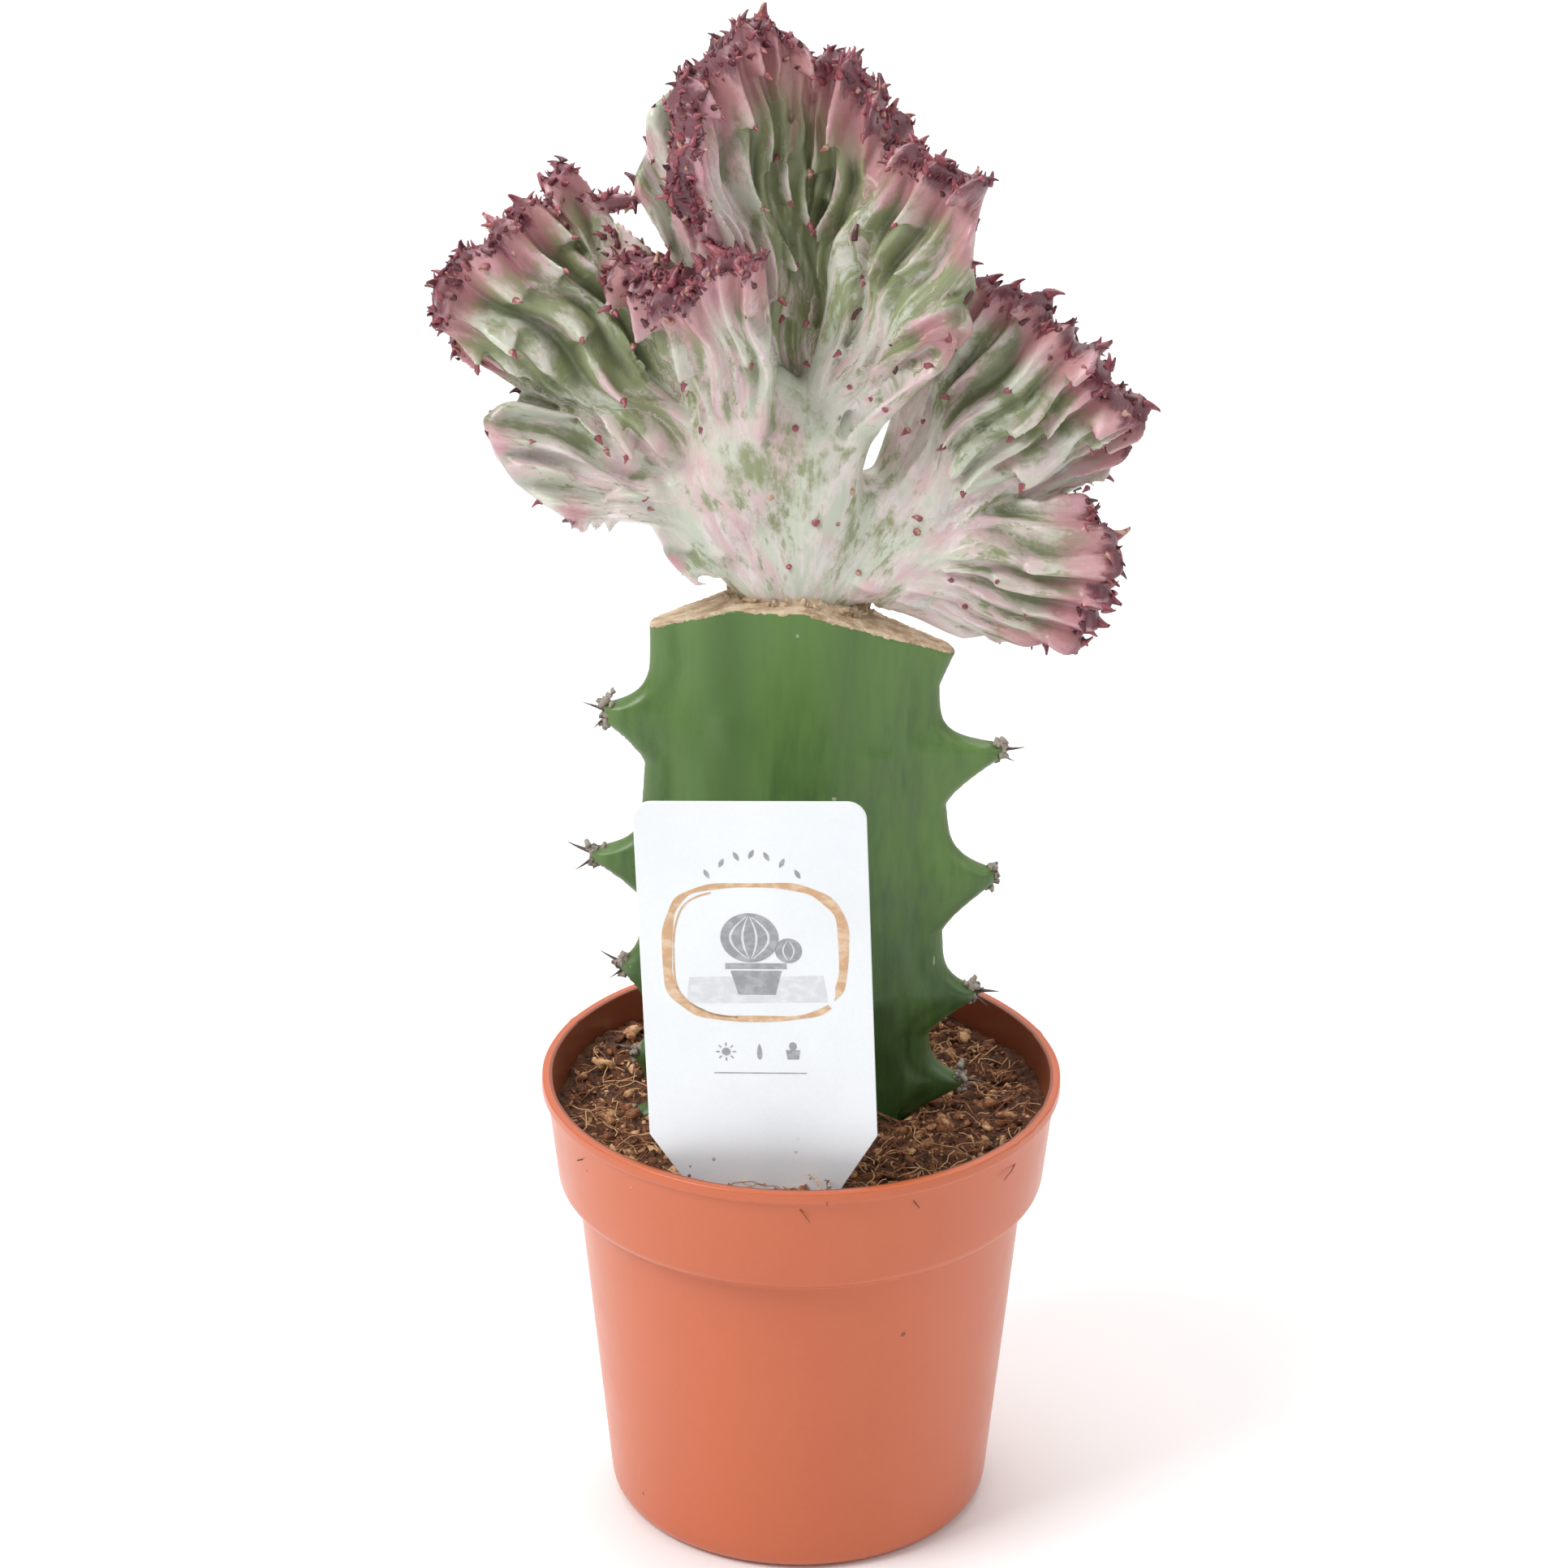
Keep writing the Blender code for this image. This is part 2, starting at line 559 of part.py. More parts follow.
def add_trunk(name):
    """Add the short oval trunk between the graft seat and the lobes."""
    rings = []
    for level in np.linspace(-14.0 * MM, TRUNK_RISE, 9):
        share = max(0.0, level / TRUNK_RISE)
        spread = 1.0 + (TRUNK_SPREAD - 1.0) * share
        close = math.sqrt(max(0.0, 1.0 - share ** 4)) if share < 1.0 else 0.05
        ring = []
        for step in range(32):
            angle = math.tau * step / 32
            x = TRUNK_CENTRE_X + TRUNK_HALF_WIDTH * spread * close * math.cos(angle)
            y = TRUNK_CENTRE_Y + TRUNK_HALF_DEPTH * close * math.sin(angle)
            ring.append((x, y, SEAT_Z + level))
        rings.append(ring)
    return add_object(name, *stack_rings(rings), None)


def add_crest(material):
    """Merge the trunk and the lobes into one grown body and seat it on the graft."""
    crest = add_trunk("crest")
    crest.data.materials.append(material)
    lobes = (
        ("left", LEFT_ROOT, LEFT_RIM),
        ("front_left", FRONT_LEFT_ROOT, FRONT_LEFT_RIM),
        ("crown", CROWN_ROOT, CROWN_RIM),
        ("shelf", SHELF_ROOT, SHELF_RIM),
        ("front_right", FRONT_RIGHT_ROOT, FRONT_RIGHT_RIM),
        ("right", RIGHT_ROOT, RIGHT_RIM),
        ("low_right", LOW_RIGHT_ROOT, LOW_RIGHT_RIM),
    )
    work = bmesh.new()
    work.from_mesh(crest.data)
    for name, root, rim in lobes:
        lobe = add_lobe(f"{name}_lobe", root, rim)
        work.from_mesh(lobe.data)
        bpy.data.objects.remove(lobe, do_unlink=True)
    work.to_mesh(crest.data)
    work.free()
    merge = crest.modifiers.new("grow_together", 'REMESH')
    merge.mode = 'VOXEL'
    merge.voxel_size = CREST_GRAIN
    merge.adaptivity = 0.0
    merge.use_smooth_shade = True
    thin = crest.modifiers.new("fewer_faces", 'DECIMATE')
    thin.ratio = CREST_THINNING_SHARE
    thin.use_collapse_triangulate = True
    add_boolean(crest, add_seat_cutter("crest_foot_cutter", GRAFT_CLEARANCE, False))
    return crest


def main():
    """Build the five pieces."""
    clear_scene()
    terracotta = make_material("terracotta_plastic", (0.62, 0.18, 0.09), 0.35)
    earth = make_material("coir_soil", (0.14, 0.07, 0.035), 0.95)
    green = make_material("stem_skin", (0.07, 0.18, 0.045), 0.4)
    pale = make_material("crest_skin", (0.45, 0.42, 0.36), 0.45)
    white = make_material("label_plastic", (0.9, 0.9, 0.9), 0.4)
    add_pot(terracotta)
    add_soil(earth)
    add_rootstock(green)
    add_crest(pale)
    add_label_plate("label", 0.0, white)


main()
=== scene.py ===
"""Looks of a grafted crested euphorbia in a nursery pot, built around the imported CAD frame.

Metres, +Z up, the frame of the CAD part.  Each sub-assembly is a class that builds its own
pieces: the pot, the soil, the rootstock, the crest, the label and the studio around them.
"""
from __future__ import annotations

import logging
import math
from dataclasses import dataclass, field
from enum import Enum

import bmesh
import bpy
import numpy as np
from mathutils import Matrix, Vector, kdtree, noise

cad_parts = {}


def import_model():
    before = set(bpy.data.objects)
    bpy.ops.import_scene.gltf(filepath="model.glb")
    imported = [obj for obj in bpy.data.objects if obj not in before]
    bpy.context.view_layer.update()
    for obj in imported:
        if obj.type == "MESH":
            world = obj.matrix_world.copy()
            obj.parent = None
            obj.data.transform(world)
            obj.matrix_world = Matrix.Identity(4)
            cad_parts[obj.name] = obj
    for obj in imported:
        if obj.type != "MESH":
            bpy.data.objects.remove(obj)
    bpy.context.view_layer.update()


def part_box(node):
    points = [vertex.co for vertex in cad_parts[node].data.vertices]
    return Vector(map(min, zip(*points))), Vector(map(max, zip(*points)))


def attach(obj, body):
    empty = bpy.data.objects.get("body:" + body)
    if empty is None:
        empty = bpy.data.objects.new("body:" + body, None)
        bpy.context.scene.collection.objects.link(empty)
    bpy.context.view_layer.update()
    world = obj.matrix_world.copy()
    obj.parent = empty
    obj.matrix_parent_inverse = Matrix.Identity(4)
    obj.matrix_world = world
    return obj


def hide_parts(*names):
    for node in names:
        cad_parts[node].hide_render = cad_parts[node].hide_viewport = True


MM = 0.001
TAU = math.tau
BODY = "root"
LOG = logging.getLogger("crested_euphorbia")

Array = np.ndarray
Piece = bpy.types.Object
Material = bpy.types.Material
Node = bpy.types.Node
NodeTree = bpy.types.NodeTree
Socket = bpy.types.NodeSocket
Point = tuple[float, float, float]
Colour = tuple[float, float, float]
Body = tuple[Array, list[tuple[int, ...]]]
Thorns = tuple[Array, Array, Array]


# --------------------------------------------------------------------------- numbers


def smooth(low: float, high: float, value: Array | float) -> Array | float:
    """Smooth step from 0 at low to 1 at high.

    Args:
        low: Value where the step starts.
        high: Value where the step ends.
        value: Where to read it.

    Returns:
        The step's height, from 0 to 1.
    """
    share = np.clip((value - low) / (high - low), 0.0, 1.0)
    return share * share * (3.0 - 2.0 * share)


def blend(first: Array | float, second: Array | float, share: Array | float):
    """Mix two values by a share of the second."""
    return first * (1.0 - share) + second * share


def lengths(rows: Array) -> Array:
    """Length of each row of a grid or list of vectors, kept as a column."""
    return np.linalg.norm(rows, axis=-1, keepdims=True)


def running(points: Array) -> Array:
    """Distance along a line of points, starting from 0."""
    return np.concatenate([[0.0], np.cumsum(np.linalg.norm(np.diff(points, axis=0), axis=1))])


def circle(count: int) -> Array:
    """Evenly spaced angles round a full turn."""
    return np.linspace(0.0, TAU, count, endpoint=False)


def spaced_line(points: Array, step: float) -> Array:
    """Spread points evenly along a smooth line through given ones.

    Args:
        points: The line's own points.
        step: Distance wanted between the new points.

    Returns:
        The new points, with both ends kept.
    """
    ends = np.vstack([2 * points[0] - points[1], points, 2 * points[-1] - points[-2]])
    share = np.linspace(0.0, 1.0, 12, endpoint=False)[:, None]
    pieces = []
    for index in range(len(points) - 1):
        p0, p1, p2, p3 = ends[index:index + 4]
        tangent_in = 0.36 * (p2 - p0)
        tangent_out = 0.36 * (p3 - p1)
        start = 2 * share**3 - 3 * share**2 + 1
        pieces.append(start * p1 + (share**3 - 2 * share**2 + share) * tangent_in
                      + (1 - start) * p2 + (share**3 - share**2) * tangent_out)
    fine = np.vstack([*pieces, points[-1:]])
    place = running(fine)
    targets = np.linspace(0.0, place[-1], max(8, int(place[-1] / step)))
    return np.stack([np.interp(targets, place, fine[:, k]) for k in range(3)], axis=1)


def grid_faces(rows: int, columns: int, start: int = 0, flip: bool = False) -> Array:
    """Quads between neighbouring points of a grid.

    Args:
        rows: Points along the first direction.
        columns: Points along the second direction.
        start: Index of the grid's first point.
        flip: Turn the faces round.

    Returns:
        One row of four indices for each quad.
    """
    first = (np.arange(rows - 1)[:, None] * columns + np.arange(columns - 1)[None, :]).ravel()
    first = first + start
    quads = np.stack([first, first + columns, first + columns + 1, first + 1], axis=1)
    return quads[:, ::-1] if flip else quads


# --------------------------------------------------------------------------- meshes


def new_piece(name: str, vertices: Array | list, faces: Array | list,
              material: Material | None = None, merge: float = 0.0) -> Piece:
    """Make a smooth-shaded mesh object at the origin.

    Args:
        name: The piece's name.
        vertices: Points in metres.
        faces: Indices of each face's corners.
        material: Its finish, if it has one yet.
        merge: Points closer than this become one, and the faces are turned outwards.

    Returns:
        The object, linked to the scene.
    """
    mesh = bpy.data.meshes.new(name)
    corners = [tuple(map(int, face)) for face in faces]
    mesh.from_pydata(np.asarray(vertices, dtype=float).tolist(), [], corners)
    if merge > 0.0:
        work = bmesh.new()
        work.from_mesh(mesh)
        bmesh.ops.remove_doubles(work, verts=work.verts, dist=merge)
        bmesh.ops.dissolve_degenerate(work, edges=work.edges, dist=0.1 * merge)
        bmesh.ops.recalc_face_normals(work, faces=work.faces)
        work.to_mesh(mesh)
        work.free()
    mesh.polygons.foreach_set("use_smooth", [True] * len(mesh.polygons))
    piece = bpy.data.objects.new(name, mesh)
    bpy.context.scene.collection.objects.link(piece)
    if material is not None:
        mesh.materials.append(material)
    return piece


def flat_shaded(piece: Piece) -> Piece:
    """Give a piece crisp faces."""
    piece.data.polygons.foreach_set("use_smooth", [False] * len(piece.data.polygons))
    return piece


def set_floats(piece: Piece, name: str, values: Array) -> None:
    """Store one number, or one vector, for each point of a piece.

    Args:
        piece: The piece.
        name: The layer's name.
        values: One row for each point.
    """
    kind = 'FLOAT' if values.ndim == 1 else 'FLOAT_VECTOR'
    layer = piece.data.attributes.new(name, kind, 'POINT')
    layer.data.foreach_set("value" if values.ndim == 1 else "vector", values.astype(np.float32).ravel())


def made_plain(piece: Piece) -> Piece:
    """Turn a piece's live modifiers into its mesh.

    Args:
        piece: The piece.

    Returns:
        The same piece, with its new mesh.
    """
    graph = bpy.context.evaluated_depsgraph_get()
    mesh = bpy.data.meshes.new_from_object(piece.evaluated_get(graph), depsgraph=graph)
    old = piece.data
    piece.modifiers.clear()
    piece.data = mesh
    bpy.data.meshes.remove(old)
    mesh.name = piece.name
    return piece


def carve(piece: Piece, cutter: Piece, how: str = 'DIFFERENCE') -> None:
    """Cut a piece with another one, or keep what they share, and drop the cutter.

    Args:
        piece: The piece.
        cutter: The piece that cuts.
        how: Whether to take the cutter away or to keep what both share.
    """
    cut = piece.modifiers.new("carve", 'BOOLEAN')
    cut.operation, cut.solver, cut.object = how, 'EXACT', cutter
    made_plain(piece)
    bpy.data.objects.remove(cutter)


def grow_together(piece: Piece, voxel: float) -> None:
    """Melt the overlapping bodies of a piece into one skin.

    Args:
        piece: The piece.
        voxel: Size of the grain that the skin is rebuilt with.
    """
    remesh = piece.modifiers.new("grow_together", 'REMESH')
    remesh.mode, remesh.voxel_size, remesh.use_smooth_shade = 'VOXEL', voxel, True
    made_plain(piece)


def dress_in(piece: Piece, finish: Material) -> None:
    """Make a finish the only one of a piece."""
    piece.data.materials.clear()
    piece.data.materials.append(finish)


def stacked(rings: list[Array]) -> Body:
    """Closed body through rings of equal counts, capped by a fan at each end.

    Args:
        rings: Each ring's points, all counter-clockwise from above or all clockwise.

    Returns:
        The body's points and faces.
    """
    count = len(rings[0])
    points = np.vstack([*rings, rings[0].mean(axis=0)[None], rings[-1].mean(axis=0)[None]])
    faces: list[tuple[int, ...]] = []
    for level in range(len(rings) - 1):
        base = level * count
        for i in range(count):
            j = (i + 1) % count
            faces.append((base + i, base + j, base + count + j, base + count + i))
    low, high = len(points) - 2, len(points) - 1
    last = (len(rings) - 1) * count
    for i in range(count):
        j = (i + 1) % count
        faces.append((j, i, low))
        faces.append((last + i, last + j, high))
    return points, faces


def adopt(piece: Piece, slot: str, *nodes: str) -> None:
    """Hand a finished piece to the frame.

    Args:
        piece: The piece.
        slot: Name of the record's material slot; not used.
        nodes: CAD nodes that it stands for.
    """
    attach(piece, BODY)
    if nodes:
        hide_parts(*nodes)
    LOG.info("%s: %d faces", piece.name, len(piece.data.polygons))


# --------------------------------------------------------------------------- node trees


class Graph:
    """Adds and links nodes in one node tree."""

    def __init__(self, tree: NodeTree) -> None:
        """Keep the tree."""
        self.tree = tree

    def add(self, kind: str, **settings: object) -> Node:
        """Add a node of a kind and set its properties.

        Args:
            kind: The node's type name.
            settings: Its properties.

        Returns:
            The node.
        """
        node = self.tree.nodes.new(kind)
        for name, value in settings.items():
            setattr(node, name, value)
        return node

    def feed(self, socket: Socket, value: object) -> None:
        """Link a socket to an input, or write a constant there.

        Args:
            socket: The input.
            value: A socket to link, or a constant.
        """
        if isinstance(value, Socket):
            self.tree.links.new(value, socket)
        elif isinstance(value, tuple) and len(value) == 3 and socket.type == 'RGBA':
            socket.default_value = (*value, 1.0)
        else:
            socket.default_value = value

    def call(self, kind: str, inputs: dict[str | int, object], output: str | int = 0,
             **settings: object) -> Socket:
        """Add a node, feed its inputs and give back one of its outputs.

        Args:
            kind: The node's type name.
            inputs: Value or socket for each input, by name or place.
            output: Which output to give back.
            settings: Properties of the node.

        Returns:
            The output socket.
        """
        node = self.add(kind, **settings)
        for key, value in inputs.items():
            self.feed(node.inputs[key], value)
        return node.outputs[output]

    def math(self, operation: str, first: object, second: object = 0.0) -> Socket:
        """One arithmetic step."""
        return self.call("ShaderNodeMath", {0: first, 1: second}, operation=operation)

    def times(self, first: object, second: object) -> Socket:
        """Product of two values."""
        return self.math('MULTIPLY', first, second)

    def plus(self, first: object, second: object) -> Socket:
        """Sum of two values."""
        return self.math('ADD', first, second)

    def height(self, where: object) -> Socket:
        """Height of a place above the base."""
        return self.call("ShaderNodeSeparateXYZ", {0: where}, "Z")

    def noise(self, vector: object, scale: float, detail: float = 3.0, rough: float = 0.55,
              output: str = "Fac") -> Socket:
        """Cloudy noise at a scale in cycles per metre of the vector."""
        return self.call("ShaderNodeTexNoise", {"Vector": vector, "Scale": scale, "Detail": detail,
                                                "Roughness": rough}, output)

    def step(self, value: object, low: float, high: float, to_low: float = 0.0,
             to_high: float = 1.0) -> Socket:
        """Smooth step of a value between two limits."""
        return self.call("ShaderNodeMapRange", {"Value": value, 1: low, 2: high, 3: to_low, 4: to_high},
                         "Result", interpolation_type='SMOOTHSTEP')

    def mix(self, share: object, first: object, second: object, how: str = 'MIX') -> Socket:
        """Mix two colours.

        Args:
            share: Share of the second colour.
            first: First colour.
            second: Second colour.
            how: How they are blended.

        Returns:
            The mixed colour.
        """
        node = self.add("ShaderNodeMix", data_type='RGBA', blend_type=how)
        self.feed(node.inputs[0], share)
        self.feed(node.inputs[6], first)
        self.feed(node.inputs[7], second)
        return node.outputs[2]

    def stretched(self, vector: object, scale: Point) -> Socket:
        """Scale a vector differently along its three directions."""
        return self.call("ShaderNodeMapping", {"Vector": vector, "Scale": scale}, "Vector")

    def attribute(self, name: str, output: str = "Fac") -> Socket:
        """Read a value stored on the mesh."""
        return self.add("ShaderNodeAttribute", attribute_name=name).outputs[output]

    def coordinates(self) -> Socket:
        """Object coordinates in metres."""
        return self.add("ShaderNodeTexCoord").outputs["Object"]

    def bump(self, height: object, strength: float, distance: float) -> Socket:
        """Normal raised by a height."""
        return self.call("ShaderNodeBump", {"Height": height, "Strength": strength,
                                            "Distance": distance}, "Normal")


def new_group(name: str, inputs: dict[str, float | Point], outputs: dict[str, str]) -> tuple[
        NodeTree, Graph, Node, Node]:
    """Start a shader node group.

    Args:
        name: The group's name.
        inputs: Each input's name and starting value.
        outputs: Each output's name and socket type.

    Returns:
        The group, a graph to build it with, its input node and its output node.
    """
    tree = bpy.data.node_groups.new(name, "ShaderNodeTree")
    for title, value in inputs.items():
        kind = "NodeSocketVector" if isinstance(value, tuple) else "NodeSocketFloat"
        socket = tree.interface.new_socket(title, in_out='INPUT', socket_type=kind)
        socket.default_value = value
    for title, kind in outputs.items():
        tree.interface.new_socket(title, in_out='OUTPUT', socket_type=kind)
    graph = Graph(tree)
    return tree, graph, graph.add("NodeGroupInput"), graph.add("NodeGroupOutput")


class SharedEffects:
    """Shader groups that more than one finish uses."""

    def __init__(self) -> None:
        """Build every group once."""
        self.flecks = self._build_flecks()
        self.mottle = self._build_mottle()

    def _build_flecks(self) -> NodeTree:
        """Mask of a few small separate specks.

        Returns:
            The group.
        """
        tree, graph, given, result = new_group(
            "flecks", {"Vector": (0.0, 0.0, 0.0), "Scale": 200.0, "Size": 0.12, "Amount": 0.6},
            {"Mask": "NodeSocketFloat"})
        warp = graph.noise(given.outputs["Vector"], 900.0, output="Color")
        bent = graph.call("ShaderNodeVectorMath", {0: warp, "Scale": 0.0006}, operation='SCALE')
        place = graph.call("ShaderNodeVectorMath", {0: given.outputs["Vector"], 1: bent},
                           operation='ADD')
        cells = graph.add("ShaderNodeTexVoronoi", feature='F1')
        graph.feed(cells.inputs["Vector"], place)
        graph.feed(cells.inputs["Scale"], given.outputs["Scale"])
        near = graph.math('LESS_THAN', cells.outputs["Distance"], given.outputs["Size"])
        chance = graph.call("ShaderNodeSeparateColor", {0: cells.outputs["Color"]}, "Red")
        kept = graph.math('GREATER_THAN', chance, given.outputs["Amount"])
        graph.feed(result.inputs["Mask"], graph.times(near, kept))
        return tree

    def _build_mottle(self) -> NodeTree:
        """Uneven soft value of two grains, for living skin and moulded plastic.

        Returns:
            The group.
        """
        tree, graph, given, result = new_group(
            "mottle", {"Vector": (0.0, 0.0, 0.0), "Coarse": 60.0, "Fine": 700.0},
            {"Value": "NodeSocketFloat"})
        coarse = graph.call("ShaderNodeTexNoise", {"Vector": given.outputs["Vector"],
                                                   "Scale": given.outputs["Coarse"], "Detail": 4.0})
        fine = graph.call("ShaderNodeTexNoise", {"Vector": given.outputs["Vector"],
                                                 "Scale": given.outputs["Fine"], "Detail": 2.0})
        total = graph.plus(graph.times(coarse, 0.72),
                           graph.times(fine, 0.28))
        graph.feed(result.inputs["Value"], total)
        return tree

    @staticmethod
    def use(graph: Graph, tree: NodeTree, **inputs: object) -> Socket:
        """Place a group in a graph and give back its first output.

        Args:
            graph: The graph that the group is placed in.
            tree: The group.
            inputs: Values or sockets for its inputs.

        Returns:
            The group's first output.
        """
        node = graph.add("ShaderNodeGroup", node_tree=tree)
        for name, value in inputs.items():
            graph.feed(node.inputs[name], value)
        return node.outputs[0]


@dataclass(frozen=True)
class Finish:
    """A material: its name, its shader's constants and what drives its colour and relief."""

    effects: SharedEffects
    name: str = "finish"
    roughness: float = 0.5
    coat: float = 0.0
    subsurface: float = 0.0

    def make(self) -> Material:
        """Build the material.

        Returns:
            The finished material.
        """
        material = bpy.data.materials.new(self.name)
        material.use_nodes = True
        graph = Graph(material.node_tree)
        shader = material.node_tree.nodes["Principled BSDF"]
        shader.inputs["Roughness"].default_value = self.roughness
        shader.inputs["Coat Weight"].default_value = self.coat
        shader.inputs["Coat Roughness"].default_value = 0.25
        if self.subsurface > 0.0:
            shader.inputs["Subsurface Weight"].default_value = self.subsurface
            shader.inputs["Subsurface Radius"].default_value = (0.9, 1.0, 0.5)
            shader.inputs["Subsurface Scale"].default_value = 1.2 * MM
        self.dress(graph, shader)
        return material

    def dress(self, graph: Graph, shader: Node) -> None:
        """Drive the shader's inputs."""
        raise NotImplementedError

    def mottle(self, graph: Graph, where: object, coarse: float, fine: float) -> Socket:
        """Soft uneven value of two grains, in cycles per metre."""
        return self.effects.use(graph, self.effects.mottle, Vector=where, Coarse=coarse, Fine=fine)

    def flecks(self, graph: Graph, where: object, scale: float, size: float, bare: float) -> Socket:
        """Mask of small specks, of which a share is left bare."""
        return self.effects.use(graph, self.effects.flecks, Vector=where, Scale=scale, Size=size,
                                Amount=bare)

    @staticmethod
    def paint(graph: Graph, shader: Node, colour: object, relief: object, strength: float,
              depth: float) -> None:
        """Feed the shader its colour and the bump of a relief as deep as given."""
        graph.feed(shader.inputs["Base Color"], colour)
        graph.feed(shader.inputs["Normal"], graph.bump(relief, strength, depth))


# --------------------------------------------------------------------------- finishes


@dataclass(frozen=True)
class PotPlastic(Finish):
    """Satin terracotta polypropylene with faint flow marks, specks of soil, scuffs and a darker inner
    collar, partly painted shade and partly soil stain.
    """

    name: str = "pot_plastic"
    roughness: float = 0.34
    coat: float = 0.14
    clay: Colour = (0.565, 0.128, 0.046)
    deep: Colour = (0.540, 0.118, 0.042)
    soiled: Colour = (0.10, 0.045, 0.022)
    shaded: Colour = (0.17, 0.045, 0.025)
    scuff: Colour = (0.85, 0.50, 0.38)
    wall_middle: float = 48.65 * MM
    wall_height: float = 72.8 * MM
    wall_flare: float = 0.1077

    def _inside(self, graph: Graph, where: Socket) -> Socket:
        """Mask of the collar's inner side, darkened by painted shade together with damp-soil stain.

        Args:
            graph: The finish's node graph.
            where: Place on the piece.

        Returns:
            The mask, 0 or 1.
        """
        flat = graph.stretched(where, (1.0, 1.0, 0.0))
        radius = graph.call("ShaderNodeVectorMath", {0: flat}, "Value", operation='LENGTH')
        above = graph.math('SUBTRACT', graph.height(where), self.wall_height)
        middle = graph.plus(graph.times(above, self.wall_flare), self.wall_middle)
        inner = graph.math('LESS_THAN', radius, middle)
        return graph.times(inner, graph.math('GREATER_THAN', above, -1.0 * MM))

    def dress(self, graph: Graph, shader: Node) -> None:
        """Colour by soft mottling, with scuffs, soil specks and painted shade mixed with soil stain on the
        collar's inner side.

        Args:
            graph: The finish's node graph.
            shader: The shader whose inputs are driven.
        """
        where = graph.coordinates()
        mottle = self.mottle(graph, where, 28.0, 900.0)
        base = graph.mix(graph.step(mottle, 0.35, 0.75), self.clay, self.deep)
        soil = self.flecks(graph, where, 95.0, 0.055, 0.80)
        pale = self.flecks(graph, graph.stretched(where, (1.0, 1.0, 0.35)), 150.0, 0.05, 0.86)
        base = graph.mix(graph.times(pale, 0.25), base, self.scuff)
        base = graph.mix(graph.times(soil, 0.8), base, self.soiled)
        # Painted shade on the collar's inner side, together with a damp-soil stain.
        inside = graph.times(self._inside(graph, where), 0.72)
        base = graph.mix(inside, base, self.shaded)
        rough = graph.step(graph.noise(where, 140.0, 5.0), 0.3, 0.7, 0.30, 0.35)
        graph.feed(shader.inputs["Roughness"], rough)
        self.paint(graph, shader, base, graph.noise(where, 2600.0, 2.0), 0.10, 0.08 * MM)


@dataclass(frozen=True)
class CoirSoil(Finish):
    """Damp brown coir and peat, from near-black crumbs to tan fibres."""

    name: str = "coir_soil"
    roughness: float = 0.95
    dark: Colour = (0.030, 0.011, 0.006)
    brown: Colour = (0.19, 0.070, 0.029)
    tan: Colour = (0.50, 0.26, 0.12)

    def dress(self, graph: Graph, shader: Node) -> None:
        """Colour by crumbs, with a few pale strands.

        Args:
            graph: The finish's node graph.
            shader: The shader whose inputs are driven.
        """
        where = graph.coordinates()
        grain = graph.noise(where, 420.0, 6.0, 0.7)
        base = graph.mix(graph.step(grain, 0.34, 0.62), self.dark, self.brown)
        strands = graph.noise(graph.stretched(where, (1.0, 0.25, 1.0)), 1500.0, 3.0)
        base = graph.mix(graph.step(strands, 0.60, 0.78), base, self.tan)
        self.paint(graph, shader, base, graph.noise(where, 1100.0, 5.0, 0.7), 0.9, 1.2 * MM)


@dataclass(frozen=True)
class LooseCoir(Finish):
    """Loose chips and fibres of coir, each with its own tint."""

    name: str = "loose_coir"
    roughness: float = 0.85
    dark: Colour = (0.075, 0.025, 0.011)
    brown: Colour = (0.30, 0.115, 0.048)
    tan: Colour = (0.72, 0.43, 0.22)

    def dress(self, graph: Graph, shader: Node) -> None:
        """Colour by each bit's tint, with a little grain.

        Args:
            graph: The finish's node graph.
            shader: The shader whose inputs are driven.
        """
        where = graph.coordinates()
        tint = graph.attribute("tint")
        uneven = graph.plus(tint, graph.step(graph.noise(where, 900.0), 0.3, 0.7, -0.2, 0.2))
        base = graph.mix(graph.step(uneven, 0.05, 0.55), self.dark, self.brown)
        base = graph.mix(graph.step(uneven, 0.60, 1.05), base, self.tan)
        self.paint(graph, shader, base, graph.noise(where, 2400.0, 3.0), 0.6, 0.5 * MM)


